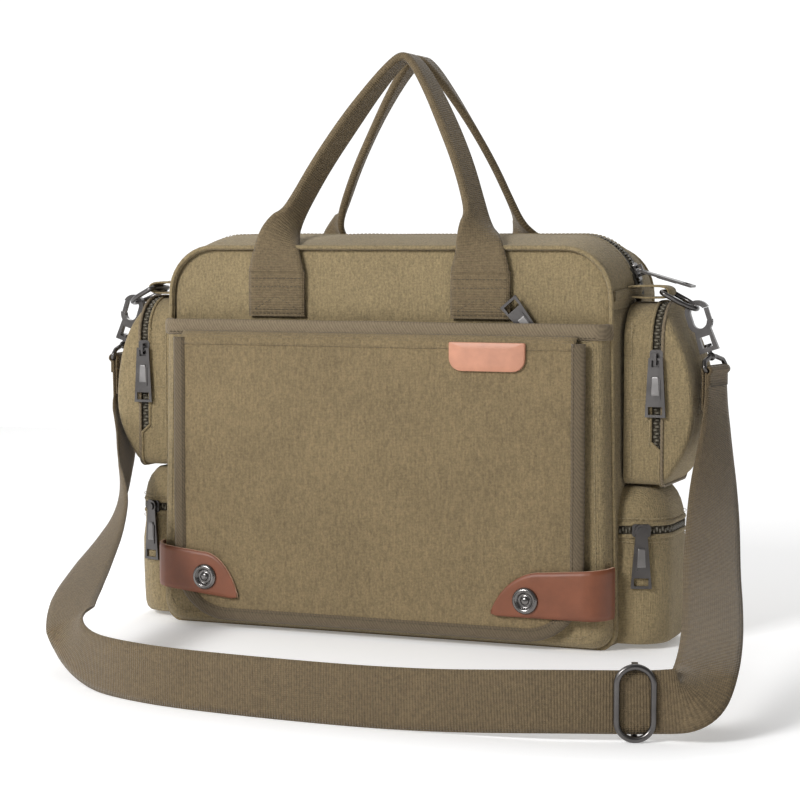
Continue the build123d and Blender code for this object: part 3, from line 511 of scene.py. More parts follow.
def nurbs_points(name, points):
    """Points along the smooth line that a route's control points give."""
    curve = bpy.data.curves.new(name, "CURVE")
    curve.dimensions = "3D"
    spline = curve.splines.new("NURBS")
    spline.points.add(len(points) - 1)
    for point, place in zip(spline.points, points):
        point.co = (*place, 1)
    spline.order_u = 3
    spline.use_endpoint_u = True
    spline.resolution_u = 10
    line = bpy.data.objects.new(name, curve)
    read = bpy.data.meshes.new_from_object(line)
    result = np.array([v.co[:] for v in read.vertices])
    bpy.data.meshes.remove(read)
    bpy.data.objects.remove(line)
    bpy.data.curves.remove(curve)
    return result


EDGE_THINNING = 0.45  # how much thinner a band is at its edges


def band_object(name, middle, across, half_width, thickness, body=BODY, columns=9):
    """A flat woven band in metres, with its own along and across coordinates for the weave."""
    middle, across = np.asarray(middle), np.asarray(across)
    run = tangents(middle)
    across = unit(across - run * np.sum(across * run, axis=1, keepdims=True))
    out = unit(np.cross(run, across))
    half_width = np.broadcast_to(np.asarray(half_width, float), len(middle))
    thickness = np.broadcast_to(np.asarray(thickness, float), len(middle))
    steps = np.linspace(-1, 1, columns)
    section = [(s, 0.5) for s in steps] + [(s, -0.5) for s in reversed(steps)]
    verts, uvs = [], []
    far = distances(middle)
    for i, point in enumerate(middle):
        for s, h in section:
            round_off = 1 - EDGE_THINNING * (abs(s) > 0.999)
            verts.append(point + across[i] * s * half_width[i] + out[i] * (h * thickness[i] * round_off))
            uvs.append((far[i], s * half_width[i]))
    around = len(section)
    faces = grid_faces(len(middle), around, close_columns=True)
    faces += [tuple(range(around))]
    faces += [tuple((len(middle) - 1) * around + j for j in reversed(range(around)))]
    piece = make_object(name, np.array(verts) / MM, faces, body)
    layer = piece.data.uv_layers.new(name="band")
    for loop in piece.data.loops:
        layer.data[loop.index].uv = uvs[loop.vertex_index]
    return piece


route = [p[:3] for p in STRAP_ROUTE]
strap_middle = nurbs_points("strap_route", route)
route_across = unit(np.array([p[3] for p in STRAP_ROUTE]))
route_far, strap_far = distances(np.array(route)), distances(strap_middle)
strap_share = strap_far / strap_far[-1] * route_far[-1]
strap_across = np.stack([np.interp(strap_share, route_far, route_across[:, k]) for k in range(3)], axis=1)
strap = band_object("shoulder_strap", strap_middle, strap_across, STRAP_W / 2, STRAP_T)
dress(strap, STRAP_WEB, "strap_webbing", "strap_left", "strap_front", "strap_right")

# ------------------------------------------------------------------ body shell

HALF_Y, TOP_Z, CROWN = 60.0, 306.0, 11.0
HALF_TOP, HALF_BASE, SIDE_BULGE = 185.0, 191.0, 5.0
TOP_R, BASE_R, SEAM_Z, TOP_R_SWELL = 38.0, 16.0, 268.0, 8


def body_outline(swell, inset=0.0):
    """The bag's outline from the front; swell runs from 0 at its panels to 1 at its middle."""
    wide, top = SIDE_BULGE * swell - inset, TOP_Z + CROWN * swell - inset
    low, high = HALF_BASE + wide, HALF_TOP + wide
    corners = [(-low, inset), (low, inset), (high, top), (-high, top)]
    top_radius = TOP_R + TOP_R_SWELL * swell - inset
    return rounded(corners, [BASE_R - inset, BASE_R - inset, top_radius, top_radius], straight=24, arc=10)


PANEL_Y, PANEL_PUFF, PANEL_EDGE = -57.0, 1.5, 2.5
PANEL_CENTRE = np.array([0, 150.0])


def panel_rings(seed):
    """The front panel as rings from its outline in to its centre, which swells forwards."""
    outline = body_outline(0.0, 1.0)
    rows = []
    for s in (1.0, 0.992, 0.975, *np.linspace(0.94, 0.0, 16)):
        lift = 1 - s**6
        fall = min(1.0, (1 - s) / 0.04)
        forward = PANEL_PUFF * lift + PANEL_EDGE * math.sqrt(fall) - PANEL_EDGE
        row = []
        for x, z in PANEL_CENTRE + (outline - PANEL_CENTRE) * s:
            wave = ripple((x, PANEL_Y, z), 60.0, 1.0, seed) + ripple((x, PANEL_Y, z), 24, 0.25, seed)
            row.append((x, PANEL_Y - forward - wave * lift, z))
        rows.append(row)
    return np.array(rows)


def place(grid, side=1):
    """Mirrors a grid to the other side where side is -1."""
    grid = np.array(grid, float)
    grid[..., 0] *= side
    return grid


WELT_Y, WELT_R = 59.6, 1.9
for name, way, node in (("front", -1, "front_panel"), ("back", 1, "back_panel")):
    shell = panel_rings(way)
    if way > 0:
        shell[..., 1] *= -1
    dress(sheet_object(f"{name}_shell", shell, 0, close_columns=True), CANVAS, "canvas", node)
    path = np.insert(body_outline(0.0, 0.3), 1, way * WELT_Y, axis=1)
    outwards = unit(np.cross(closed_tangents(path), (0, 1, 0)))
    dress(tube(f"{name}_welt", path, WELT_R, outwards, (0, 1, 0), lowest=0.0), CANVAS, "canvas")

# The gusset: a band round the outline, lowest at its seams and highest at its middle
GUSSET_ROWS, GUSSET_Y, MID_Z = 33, 59.5, 150
MIDDLE_ROW = GUSSET_ROWS // 2
depths = np.linspace(-1, 1, GUSSET_ROWS)
gusset = []
for t in depths:
    row = []
    for x, z in body_outline(1 - abs(t) ** 1.5):
        pinch = 0.9 * math.exp(-((1 - abs(t)) * HALF_Y / 2.2) ** 2)
        wave = ripple((x, t * HALF_Y, z), 34, 0.9, 7) if z > 8 else 0
        centre_ridge = 0.8 * math.exp(-(t * HALF_Y / 1.6) ** 2)
        grow = 1 + (wave * (1 - t * t) - pinch + centre_ridge) / 190
        row.append((x * grow, t * GUSSET_Y, max(0.0, MID_Z + (z - MID_Z) * grow) if z > 1 else 0.0))
    gusset.append(row)
gusset = np.array(gusset)
columns = gusset.shape[1]


def gusset_part(name, keep, node):
    """Part of the gusset band, chosen face by face, as a sheet of its own."""
    faces = grid_faces(GUSSET_ROWS, columns, close_columns=True, keep=keep)
    used = sorted({i for face in faces for i in face})
    order = {old: new for new, old in enumerate(used)}
    piece = make_object(name, gusset.reshape(-1, 3)[used], [tuple(order[i] for i in face) for face in faces])
    thicken(piece, 2.0, 1.0)
    dress(piece, CANVAS, "canvas", node)


ZIP_GAP = 8.0
column_z = gusset[MIDDLE_ROW, :, 2]


def below_seam(j):
    return column_z[j] < SEAM_Z and column_z[(j + 1) % columns] < SEAM_Z + 4


def beside_zip(i):
    return abs((depths[i] + depths[i + 1]) / 2) * HALF_Y >= ZIP_GAP - 1


gusset_part("side_gusset", lambda i, j: below_seam(j), "main_gusset")
for name, in_half in (("front", lambda t: t < 0), ("back", lambda t: t >= 0)):
    kept = lambda i, j: not below_seam(j) and in_half(depths[i]) and beside_zip(i)
    gusset_part(f"top_gusset_{name}_cloth", kept, f"top_gusset_{name}")

# The cross seam where the top gusset meets the side gusset, with its doubled edge
top_run = [j for j in range(columns) if column_z[j] >= SEAM_Z]
seam_section = [(-4, -0.4), (-3.6, 0.7), (3.6, 0.9), (4, -0.4)]
for name, side in SIDES.items():
    on_side = (k for k in range(columns) if gusset[MIDDLE_ROW, k, 0] * side > 0)
    j = min(on_side, key=lambda k: abs(column_z[k] - SEAM_Z))
    seam_path = gusset[1:-1, j] + np.array([side * 0.8, 0, 0])
    fold = sweep(f"gusset_seam_{name}", seam_path, seam_section, (0, 0, 1), (side, 0, 0))
    dress(fold, CANVAS, "canvas")
    lines = [seam_path + np.array([side * 0.9, 0, dz]) for dz in (-2.4, 2.4)]
    stitches(f"gusset_seam_stitches_{name}", lines, (side, 0, 0))

# Rows of stitching along the top gusset, beside the zip and beside the panels
top_columns = sorted(top_run, key=lambda k: gusset[MIDDLE_ROW, k, 0])
for name, way in (("front", -1), ("back", 1)):
    lines = []
    for y in (11.5, 56.0):
        i = int(np.argmin(np.abs(depths * HALF_Y - way * y)))
        line = gusset[i, top_columns].copy()
        line[:, 1] = way * y
        line[:, 2] += 0.4
        lines.append(line)
    stitches(f"top_stitches_{name}", lines, (0, 0, 1))

# Main zip: tapes and interlocking teeth along the gap
ZIP_SINK = 2.6
zip_line = gusset[MIDDLE_ROW, top_columns] - np.array([0, 0, ZIP_SINK])
for name, way in (("front", -1), ("back", 1)):
    tape = zip_line[:, None] + np.array([[0, way * 1.5, -0.6], [0, way * 5, 0], [0, way * 10.5, -0.8]])
    nodes = ["main_zip_tapes"] if way < 0 else []
    dress(sheet_object(f"main_tape_{name}", tape, 0.8), TAPE, "zip_tape", *nodes)

TOOTH_PITCH = 2.6
TOOTH = (
    [
        (-1, -1, -1), (1, -1, -1), (1, 1, -1), (-1, 1, -1),
        (-0.6, -0.9, 1), (0.6, -0.9, 1), (0.6, 0.9, 1), (-0.6, 0.9, 1),
    ],
    [(3, 2, 1, 0), (4, 5, 6, 7), (0, 1, 5, 4), (1, 2, 6, 5), (2, 3, 7, 6), (3, 0, 4, 7)],
)


def teeth(name, points, ups, across, size, stagger, *nodes):
    """Zip teeth on evenly spaced points, set off to each side in turn."""
    shift = np.where(np.arange(len(points)) % 2, stagger, -stagger)[:, None] * np.array(across)
    piece = scatter(name, points + shift, tangents(points), ups, size, TOOTH)
    dress(piece, TEETH, "zip_teeth", *nodes)


zip_points = along(zip_line, step=TOOTH_PITCH)
zip_ups = unit(np.cross(tangents(zip_points), (0, 1, 0)))
teeth("main_teeth", zip_points, zip_ups, (0, 1, 0), (1.7, 4.6, 2.4), 1.0, "main_zip_teeth")

# ------------------------------------------------------------------ front pocket

POCKET_TOP, POCKET_FACE = 246.0, -74.6


def pocket_outline(inset):
    low, high = HALF_BASE - inset, HALF_TOP + 1 - inset
    corners = [(-low, inset), (low, inset), (high, POCKET_TOP), (-high, POCKET_TOP)]
    return rounded(corners, [BASE_R, BASE_R, 1.5, 1.5], straight=24, arc=8)


pocket_rows = []
pocket_centre = np.array([0, 120.0])
WALL_RINGS = (
    (1.0, -60.2), (1.2, -62.5), (2.4, -67), (4.0, -70.5), (6.0, -73), (9.0, -74.2), (13, POCKET_FACE),
)  # inset from the outline, and y
for inset, y in WALL_RINGS:
    pocket_rows.append([(x, y, z) for x, z in pocket_outline(inset)])
inner_ring = pocket_outline(13)
for s in np.linspace(0.95, 0.0, 14):
    ring = pocket_centre + (inner_ring - pocket_centre) * s
    puff = 1 - s**4
    row = [(x, POCKET_FACE - 1.2 * puff - ripple((x, 0, z), 50, 0.8, 3) * puff, z) for x, z in ring]
    pocket_rows.append(row)
pocket = np.array(pocket_rows)


def pocket_cloth(i, j):
    """Leaves the walls' top faces out, because the pocket's mouth is there."""
    at_top = pocket[i, [j, (j + 1) % pocket.shape[1]], 2] > POCKET_TOP - 0.5
    return i >= len(WALL_RINGS) - 1 or not at_top.all()


piece = sheet_object("front_pocket", pocket, 0, close_columns=True, keep=pocket_cloth)
dress(piece, CANVAS, "canvas", "front_pocket_panel")
edge_line = np.array([(x, -74.9, z) for x, z in pocket_outline(10.5) if z < 236])
order = np.argsort(-np.arctan2(edge_line[:, 0], edge_line[:, 2] - 240))
stitches("front_pocket_stitches", [edge_line[order]], (0, -1, 0))

# Twill binding folded over the pocket's top edge
BINDING_Z, BINDING_Y = 236.0, -75.0
binding_turn = [(186.2, -61), (185.2, -66), (183.4, -70.5), (180.5, -73.8), (176, BINDING_Y)]
binding_line = [(-x, y) for x, y in binding_turn]
binding_line += [(x, BINDING_Y) for x in np.linspace(-170, 170, 50)] + binding_turn[::-1]
binding_path = np.array([(x, y, BINDING_Z) for x, y in binding_line])
binding_out = unit(np.cross(tangents(binding_path), (0, 0, 1)))
profile = [(0, 0.2), (1.0, 1.5), (3, 1.9), (9, 1.9), (11.2, 1.5)]
profile += [(12.3, 0.4), (12.3, -2.5), (11.6, -4.4), (9.5, -5.2), (0.4, -5.2)]
binding = sweep("pocket_edge_tape", binding_path, profile, (0, 0, 1), binding_out)
for v in binding.data.vertices:
    v.co.y += ripple(v.co * 1000, 40, 0.5, 5) * MM
    v.co.z += ripple(v.co * 1000, 55, 0.6, 9) * MM
dress(binding, BINDING, "binding", "pocket_binding")
edge_stitch = [(-179, -77.0, 238.2), (179, -77.0, 238.2)]
stitches("pocket_edge_stitches", [edge_stitch], (0, -1, 0), material=DARK_THREAD)

FRONT_ZIP_Y, FRONT_ZIP_Z = -65.2, 223.0
front_zip_path = np.array([(x, FRONT_ZIP_Y, FRONT_ZIP_Z) for x in np.linspace(-176, 176, 40)])
tape_section = [(-5.4, 0.2), (-1.6, 0.6), (1.6, 0.6), (5.4, 0.2), (5.4, -0.6), (-5.4, -0.6)]
front_tape = sweep("front_zip_tape", front_zip_path, tape_section, (0, 1, 0), (0, 0, 1))
dress(front_tape, TAPE, "zip_tape", "front_zip")
front_points = along(front_zip_path, step=TOOTH_PITCH)
teeth("front_zip_teeth", front_points, (0, 0, 1), (0, 1, 0), (1.5, 3.4, 1.8), 1.0)

# ------------------------------------------------------------------ flap

FLAP_TOP, FLAP_R = 234.5, 46.0
CLOTH_X, CLOTH_Z, FLAP_TAPE_X, FLAP_TAPE_Z = 165, 14, 167, 12


def flap_wave(x, z):
    """How far the flap's cloth swells forwards, in millimetres."""
    rise = min(1.0, max(0.0, (z - 70) / 40)) * min(1.0, max(0.0, (222 - z) / 30))
    folds = 1.1 * noise.noise(Vector((x / 70, z / 60, 4))) + 0.4 * noise.noise(Vector((x / 24, z / 30, 8)))
    return rise * folds


def flap_points(points, y):
    return np.array([(x, y - flap_wave(x, z), z) for x, z in points])


corners = [(-CLOTH_X, CLOTH_Z), (CLOTH_X, CLOTH_Z), (CLOTH_X, FLAP_TOP), (-CLOTH_X, FLAP_TOP)]
panel_outline = rounded(corners, [FLAP_R - 7, FLAP_R - 7, 1, 1], 24, 10)
flap_centre = np.array([0, 125.0])


def flap_ring(share, y):
    return flap_points(flap_centre + (panel_outline - flap_centre) * share, y)


rows = [flap_ring(s, -80.0) for s in (0.0, 0.5, 0.97)]
rows += [flap_points(panel_outline, -80.4), flap_points(panel_outline, -82.6)]
rows += [flap_ring(s, -83.2 - 0.4 * (1 - s)) for s in (0.995, 0.98, *np.linspace(0.95, 0, 16))]
flap = sheet_object("flap_cloth", rows, 0, "flap", close_columns=True)
dress(flap, CANVAS_FLAP, "canvas", "flap_panel")

# Its edge tape: a U along the sides and the base, open at the top
corners = [(-FLAP_TAPE_X, FLAP_TAPE_Z), (FLAP_TAPE_X, FLAP_TAPE_Z), (FLAP_TAPE_X, 300), (-FLAP_TAPE_X, 300)]
half = rounded(corners, [FLAP_R - 5, FLAP_R - 5, 1, 1], 24, 16)
u_line = half[half[:, 1] < 233]
start = int(np.argmin(np.where(u_line[:, 0] < 0, -u_line[:, 1], 1e9)))
u_line = np.roll(u_line, -start, axis=0)
if u_line[1, 0] > 0:
    u_line = u_line[::-1]
left_end, right_end = (-FLAP_TAPE_X, 234), (FLAP_TAPE_X, 234)
u_line = along(np.vstack([left_end, u_line[u_line[:, 1] < 232], right_end]), step=4.0)
u_path = flap_points(u_line, -81.5)
u_run = tangents(u_path * np.array([1, 0, 1]))
u_out = unit(np.cross(u_run, (0, 1, 0)))
if u_out[0, 0] > 0:
    u_out = -u_out
section = [(-5.2, 2.3), (-3, 2.9), (0, 3.0), (3, 2.7), (4.9, 1.2)]
section += [(5.2, 0), (4.9, -1.2), (3, -2.4), (0, -2.6), (-5.2, -2.2)]
# The tape's darker colour is partly painted shade along the flap's edges.
flap_tape_painted_shade = sweep("flap_edge_tape", u_path, section, u_out, (0, -1, 0), "flap")
dress(flap_tape_painted_shade, FLAP_TAPE_SHADED, "binding", "flap_binding")
edge_stitch = u_path - u_out * 3.2 + np.array([0, -3.05, 0])
stitches("flap_edge_stitches", [edge_stitch], (0, -1, 0), "flap", DARK_THREAD)

# The flap's root: cloth sewn under the binding, left free of the flap's body
ROOT_FOLD = ((-76.6, 239.0), (-78.2, 238.4), (-80.2, 237.0), (-81.8, 235.0), (-82.8, 232.0), (-83.3, 228.5))
root_rows = [[(x, y, z) for x in np.linspace(-CLOTH_X, CLOTH_X, 50)] for y, z in ROOT_FOLD]
root = sheet_object("flap_root", root_rows, 1.0, None, offset=0.0)
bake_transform(root)
dress(root, CANVAS_FLAP, "canvas")

# Leather tab stitched to the flap
TAB_LEFT, TAB_RIGHT, TAB_LOW, TAB_HIGH = 65.0, 126.0, 212.0, 234.0
corners = [(TAB_LEFT, TAB_LOW), (TAB_RIGHT, TAB_LOW), (TAB_RIGHT, TAB_HIGH), (TAB_LEFT, TAB_HIGH)]
tab_outline = rounded(corners, [10, 10, 1.2, 1.2], 10, 6)
tab_centre = np.array([(TAB_LEFT + TAB_RIGHT) / 2, (TAB_LOW + TAB_HIGH) / 2])
tab_rows = [
    np.insert(tab_centre + (tab_outline - tab_centre) * s, 1, y, axis=1)
    for s, y in ((1.0, -83.6), (1.0, -85.6), (0.985, -86.0), (0.96, -86.2), (0.5, -86.3), (0.0, -86.3))
]
dress(sheet_object("tab", tab_rows, 0, "flap", close_columns=True), TAB_LEATHER, "tab_leather", "leather_tab")

# ------------------------------------------------------------------ leather straps

HIDE_ROOT_X, HIDE_FACE, HIDE_HALF = 190.5, -85.7, 1.3
HIDE_PLAN = [(HIDE_ROOT_X, -65), (189.8, -71), (187.6, -77), (184, -81.5), (179, -84.6), (173, HIDE_FACE)]
HIDES = {
    "left": dict(root=(33.0, 67.0), shoulder=(146.0, 62.0), tip=(114.0, 25.0), snap=(143.0, 42.0)),
    "right": dict(root=(26.0, 65.0), shoulder=(141.0, 61.0), tip=(99.0, 26.0), snap=(127.5, 39.0)),
}


def hide_rows(shape):
    """Across the strap from its root to its tip: plan position, lowest and highest point."""
    (tip_x, tip_z), (top_x, top_z) = shape["tip"], shape["shoulder"]
    low, high = shape["root"]
    rows = []
    for x, y in along(HIDE_PLAN + [(tip_x - 1, HIDE_FACE)], step=2.0):
        if x < tip_x:
            continue
        bottom = tip_z + (low - tip_z) * (x - tip_x) / (HIDE_ROOT_X - tip_x)
        if x >= top_x:
            top = top_z + (high - top_z) * (x - top_x) / (HIDE_ROOT_X - top_x)
        else:
            t = (x - tip_x) / (top_x - tip_x)
            top = tip_z + (top_z - tip_z) * (1 - (1 - t) ** 2.1) ** 0.72
        bottom += 1.6 * math.exp(-((x - tip_x) / 3.5) ** 2)
        rows.append((x, y, bottom, max(bottom, top)))
    return rows


HIDE_POINTS = 11
# Each snap's domed cap as (radius, y): a sunk rim, a raised ring and a dished middle
DOME = [(10.2, -86.9), (10.2, -87.9), (9.4, -89.2), (8.2, -89.8), (7.0, -89.5), (6.2, -88.7), (5.6, -87.5)]
DOME += [(5.2, -87.2), (3.4, -87.2), (3.1, -88.0), (2.4, -88.7), (1.2, -89.0), (0.0, -89.05)]
for name, side in SIDES.items():
    shape = HIDES[name]
    shares = np.linspace(0, 1, HIDE_POINTS)
    front = [[(side * x, y, low + (top - low) * s) for s in shares] for x, y, low, top in hide_rows(shape)]
    front = np.array(front)
    run = tangents(front[:, HIDE_POINTS // 2] * np.array([1, 1, 0]))
    outward = unit(np.cross(run, (0, 0, 1)))
    if outward[-1, 1] > 0:
        outward = -outward
    lifts = [HIDE_HALF - (0.35 if k in (0, HIDE_POINTS - 1) else 0) for k in range(HIDE_POINTS)]
    solid_rows = []
    for row, out in zip(front, outward):
        face = [point + out * lift for point, lift in zip(row, lifts)]
        solid_rows.append(face + [point + out * -HIDE_HALF for point in row[::-1]])
    leather = sheet_object(
        f"leather_strap_{name}_hide", solid_rows, 0, f"leather_{name}", close_columns=True, caps=True
    )
    dress(leather, STRAP_LEATHER, "strap_leather", f"leather_strap_{name}")
    leather.data.materials.append(CUT_EDGE)
    around = 2 * HIDE_POINTS
    for face in leather.data.polygons:
        spots = {i % around for i in face.vertices}
        if spots <= {HIDE_POINTS - 1, HIDE_POINTS} or spots <= {0, around - 1} or len(face.vertices) > 4:
            face.material_index = 1
    sx, sz = shape["snap"]
    spin = np.linspace(0, math.tau, 40, endpoint=False)
    cap_rows = [[(side * sx + r * math.cos(a), y, sz + r * math.sin(a)) for a in spin] for r, y in DOME]
    cap = sheet_object(f"snap_dome_{name}", cap_rows, 0, f"leather_{name}", close_columns=True)
    dress(cap, BRIGHT, "snap_metal", f"snap_cap_{name}")

# ------------------------------------------------------------------ side pockets

UPPER_Y, UPPER_Z, UPPER_ARCH, UPPER_R = (-46.0, 30.0), (126.0, 264.0), 30.0, 8
UPPER_MIDDLE = np.array([-8.0, 196.0])
# The lid's face from the side, as (height, distance out)
UPPER_CORNERS = (
    (126, 222), (130, 226), (150, 239), (170, 245.5), (195, 245),
    (222, 240.5), (245, 230), (260, 221.5), (264, 219),
)
UPPER_PROFILE = smooth_rows(UPPER_CORNERS, 3)
GUSSET_X, LID_BACK, LID_EDGE, LID_SEAM_Z = 192.0, 221.0, 222.4, 191.0
POCKET_TOOTH, POCKET_STAGGER = (1.6, 3.4, 2.0), 0.7


def upper_outline(inset):
    y0, y1 = UPPER_Y[0] + inset, UPPER_Y[1] - inset
    z0, z1 = UPPER_Z[0] + inset, UPPER_Z[1] - inset
    low_r, arch_r = max(2, UPPER_R - inset), UPPER_ARCH - inset
    return rounded([(y0, z0), (y1, z0), (y1, z1), (y0, z1)], [low_r, low_r, arch_r, arch_r], 16, 10)


def rings_object(name, rings, side, material, slot_name, *nodes):
    piece = sheet_object(name, place(rings, side), 0, close_columns=True)
    return dress(piece, material, slot_name, *nodes)


def piping(name, ring, radius, material, side):
    """A thin corded edge along a closed ring of points."""
    ring = place(ring, side)
    run = closed_tangents(ring)
    first = unit(np.cross(run, (1, 0, 0)))
    paint(tube(name, ring, radius, first, unit(np.cross(run, first))), material)


def wall_lip(z):
    """Where the upper pocket's wall ends and its zip starts, measured out from the middle."""
    return 214.0 if z > 154 else 221.0


def lid_face(z):
    """How far out the lid's face is at a height."""
    return np.interp(z, UPPER_PROFILE[:, 0], UPPER_PROFILE[:, 1])


def lid_rings(side):
    """The upper pocket's lid: its back edge, its rounded rim, and its face in to the middle."""
    lid = [[(x, y, z) for y, z in upper_outline(0.0)] for x in (LID_BACK, LID_EDGE)]
    for back, inset in ((-4.5, 0.0), (-2.2, 0.6), (-0.8, 2.0), (0, 4.5)):
        lid.append([(max(LID_EDGE, lid_face(z) + back), y, z) for y, z in upper_outline(inset)])
    rim = upper_outline(4.5)
    for s in np.linspace(0.93, 0, 12):
        ring = []
        for y, z in UPPER_MIDDLE + (rim - UPPER_MIDDLE) * s:
            wave = ripple((side * 40, y, z), 26, 1.6, 11) + ripple((side * 40, y * 2, z), 13, 0.6, 3)
            seam = 1.2 * math.exp(-((z - LID_SEAM_Z) / 2.0) ** 2)
            ring.append((lid_face(z) + 1.5 * (1 - s**3) + 1.2 * wave * (1 - s**4) - seam, y, z))
        lid.append(ring)
    return np.array(lid)


for name, side in SIDES.items():
    outer = upper_outline(0.0)
    wall = [[(x, y, z) for y, z in outer] for x in (GUSSET_X, 200, 207)]
    wall.append([(wall_lip(z), y, z) for y, z in outer])
    rings_object(f"upper_wall_{name}", wall, side, CANVAS, "canvas", f"upper_pocket_wall_{name}")
    tape = [[(x, y, z) for y, z in upper_outline(1.4)] for x in (213, 215, 217.5, 220, 221.5)]
    nodes = ["upper_pocket_zips"] if side < 0 else []
    rings_object(f"upper_tape_{name}", tape, side, TAPE, "zip_tape", *nodes)
    tooth_ring = np.array([(217.5, y, z) for y, z in upper_outline(0.9) if z > 150])
    order = np.argsort(np.arctan2(tooth_ring[:, 1] + 8, tooth_ring[:, 2] - 150))
    line = along(place(tooth_ring[order], side), step=TOOTH_PITCH)
    ups = unit((line - np.array([side * 217.5, -8, 200])) * np.array([0, 1, 0.6]))
    teeth(f"upper_teeth_{name}", line, ups, (1, 0, 0), POCKET_TOOTH, POCKET_STAGGER)
    rings_object(f"upper_lid_{name}", lid_rings(side), side, CANVAS, "canvas", f"upper_pocket_lid_{name}")
    lid_edge = [(222.0, y, z) for y, z in upper_outline(-0.5)]
    piping(f"upper_piping_lid_{name}", lid_edge, 1.3, BINDING, side)
    wall_edge = [(wall_lip(z) - 0.8, y, z) for y, z in upper_outline(-0.4)]
    piping(f"upper_piping_wall_{name}", wall_edge, 1.2, CANVAS, side)
    runs = ((198, (132, 190, 250)), (212, (156, 190, 240)))
    wall_lines = [[(side * x, -46.4, z) for z in heights] for x, heights in runs]
    wall_lines += [[(side * x, -46.4, LID_SEAM_Z) for x in (199, 205, 211)]]
    stitches(f"upper_wall_stitches_{name}", wall_lines, (0, -1, 0))
    seam_y = np.linspace(-40, 24, 20)
    seam_lines = [[(side * 244.6, y, LID_SEAM_Z + dz) for y in seam_y] for dz in (2.6, -2.6)]
    stitches(f"upper_stitches_{name}", seam_lines, (side, 0, 0))

LOWER_Y, LOWER_X, LOWER_R = (-52.0, 35.0), 226.0, 28.0
LOWER_START, LOWER_MID_Y, LOWER_ZIP_Z = 186.0, -8, 92


def lower_plan(grow):
    """The lower pocket's plan from the gusset in front, round to the gusset behind: (x, y)."""
    x1, y0, y1 = LOWER_X + grow, LOWER_Y[0] - grow, LOWER_Y[1] + grow
    radius = max(LOWER_R + min(grow, 0), 6)
    halfway = (LOWER_START + x1 - radius) / 2
    line = [(LOWER_START, y0), (halfway, y0)]
    turn = np.linspace(-math.pi / 2, 0, 10)
    line += [(x1 - radius + radius * math.cos(a), y0 + radius + radius * math.sin(a)) for a in turn]
    line += [(x1 - radius + radius * math.cos(a), y1 - radius + radius * math.sin(a)) for a in -turn[::-1]]
    line += [(halfway, y1), (LOWER_START, y1)]
    return along(line, count=72)


def level(grow, z):
    """The plan at one height."""
    return [(x, y, z) for x, y in lower_plan(grow)]


def looseness(x):
    """How freely the cloth moves: 0 at the gusset, 1 further out."""
    return min(1.0, max(0.0, (x - 192) / 20))


# Height and growth of the plan, from the base up
POUCH = (
    (4, -6), (4.3, -2.5), (6.5, -0.6), (11, 0.4), (24, 1.2),
    (44, 1.6), (64, 1.2), (78, 0.2), (85, 0.0), (88, 0.0),
)
HOOD = ((96, 0.0), (99, -0.1), (104, -0.9), (110, -2.4), (116, -5.0), (121, -9.0), (123, -11.5))


def pouch_rings(side):
    rings = []
    centre = np.array([LOWER_START, LOWER_MID_Y])
    for s in (0.0, 0.6):
        rings.append([(x, y, 4.0) for x, y in centre + (lower_plan(-6) - centre) * s])
    for z, grow in POUCH:
        ring = []
        for x, y in lower_plan(grow):
            wave = ripple((side * x, y, z), 24, 1.8, 2)
            wave += ripple((side * x * 1.6, y * 1.6, z * 0.5), 12, 0.6, 6)
            wave *= looseness(x) * (1 if 12 < z < 80 else 0.2)
            ring.append((x + wave, y + wave * 0.5, z))
        rings.append(ring)
    return rings


def hood_rings(side):
    rings = []
    for z, grow in HOOD:
        ring = []
        for x, y in lower_plan(grow):
            wave = ripple((side * x, y, z), 22, 1.0, 14) * looseness(x)
            ring.append((x + wave, y + 0.3 * wave, z))
        rings.append(ring)
    centre = np.array([LOWER_START, LOWER_MID_Y])
    for s, z in ((0.8, 124.2), (0.5, 124.8), (0.2, 125)):
        shrink = np.array([s, 0.5 + 0.5 * s])
        rings.append([(x, y, z) for x, y in centre + (lower_plan(HOOD[-1][1]) - centre) * shrink])
    return rings


for name, side in SIDES.items():
    pouch = sheet_object(f"lower_pocket_cloth_{name}", place(pouch_rings(side), side), 0)
    dress(pouch, CANVAS, "canvas", f"lower_pocket_{name}")
    hood = sheet_object(f"lower_pocket_hood_{name}", place(hood_rings(side), side), 0)
    dress(hood, CANVAS, "canvas", f"lower_pocket_top_{name}")
    tape = [level(-1.0, z) for z in (87, 89, LOWER_ZIP_Z, 95, 97)]
    nodes = ["lower_pocket_zips"] if side < 0 else []
    dress(sheet_object(f"lower_tape_{name}", place(tape, side), 0), TAPE, "zip_tape", *nodes)
    line = along(place(level(-0.4, LOWER_ZIP_Z), side), step=TOOTH_PITCH)
    outs = facing(unit(np.cross(tangents(line), (0, 0, 1))), side)
    teeth(f"lower_teeth_{name}", line, outs, (0, 0, 1), POCKET_TOOTH, POCKET_STAGGER)
    # Folded welts above and below the zip, each with a row of stitches
    profile = [(-1.8, -1.2), (-1.6, -0.2), (0, 0.5), (1.6, -0.2), (1.8, -1.2)]
    for label, z, way in (("below", 87.2, -1), ("above", 96.8, 1)):
        path = place(level(0.6, z), side)
        outs = facing(unit(np.cross(tangents(path), (0, 0, 1))), side)
        fold = sweep(f"lower_welt_{label}_{name}", path, profile, (0, 0, 1), outs)
        dress(fold, CANVAS, "canvas")
        edge_stitch = path + outs * 0.7 + np.array([0, 0, way * 4.2])
        stitches(f"lower_stitches_{label}_{name}", [edge_stitch], outs[0])

# ------------------------------------------------------------------ carry handles

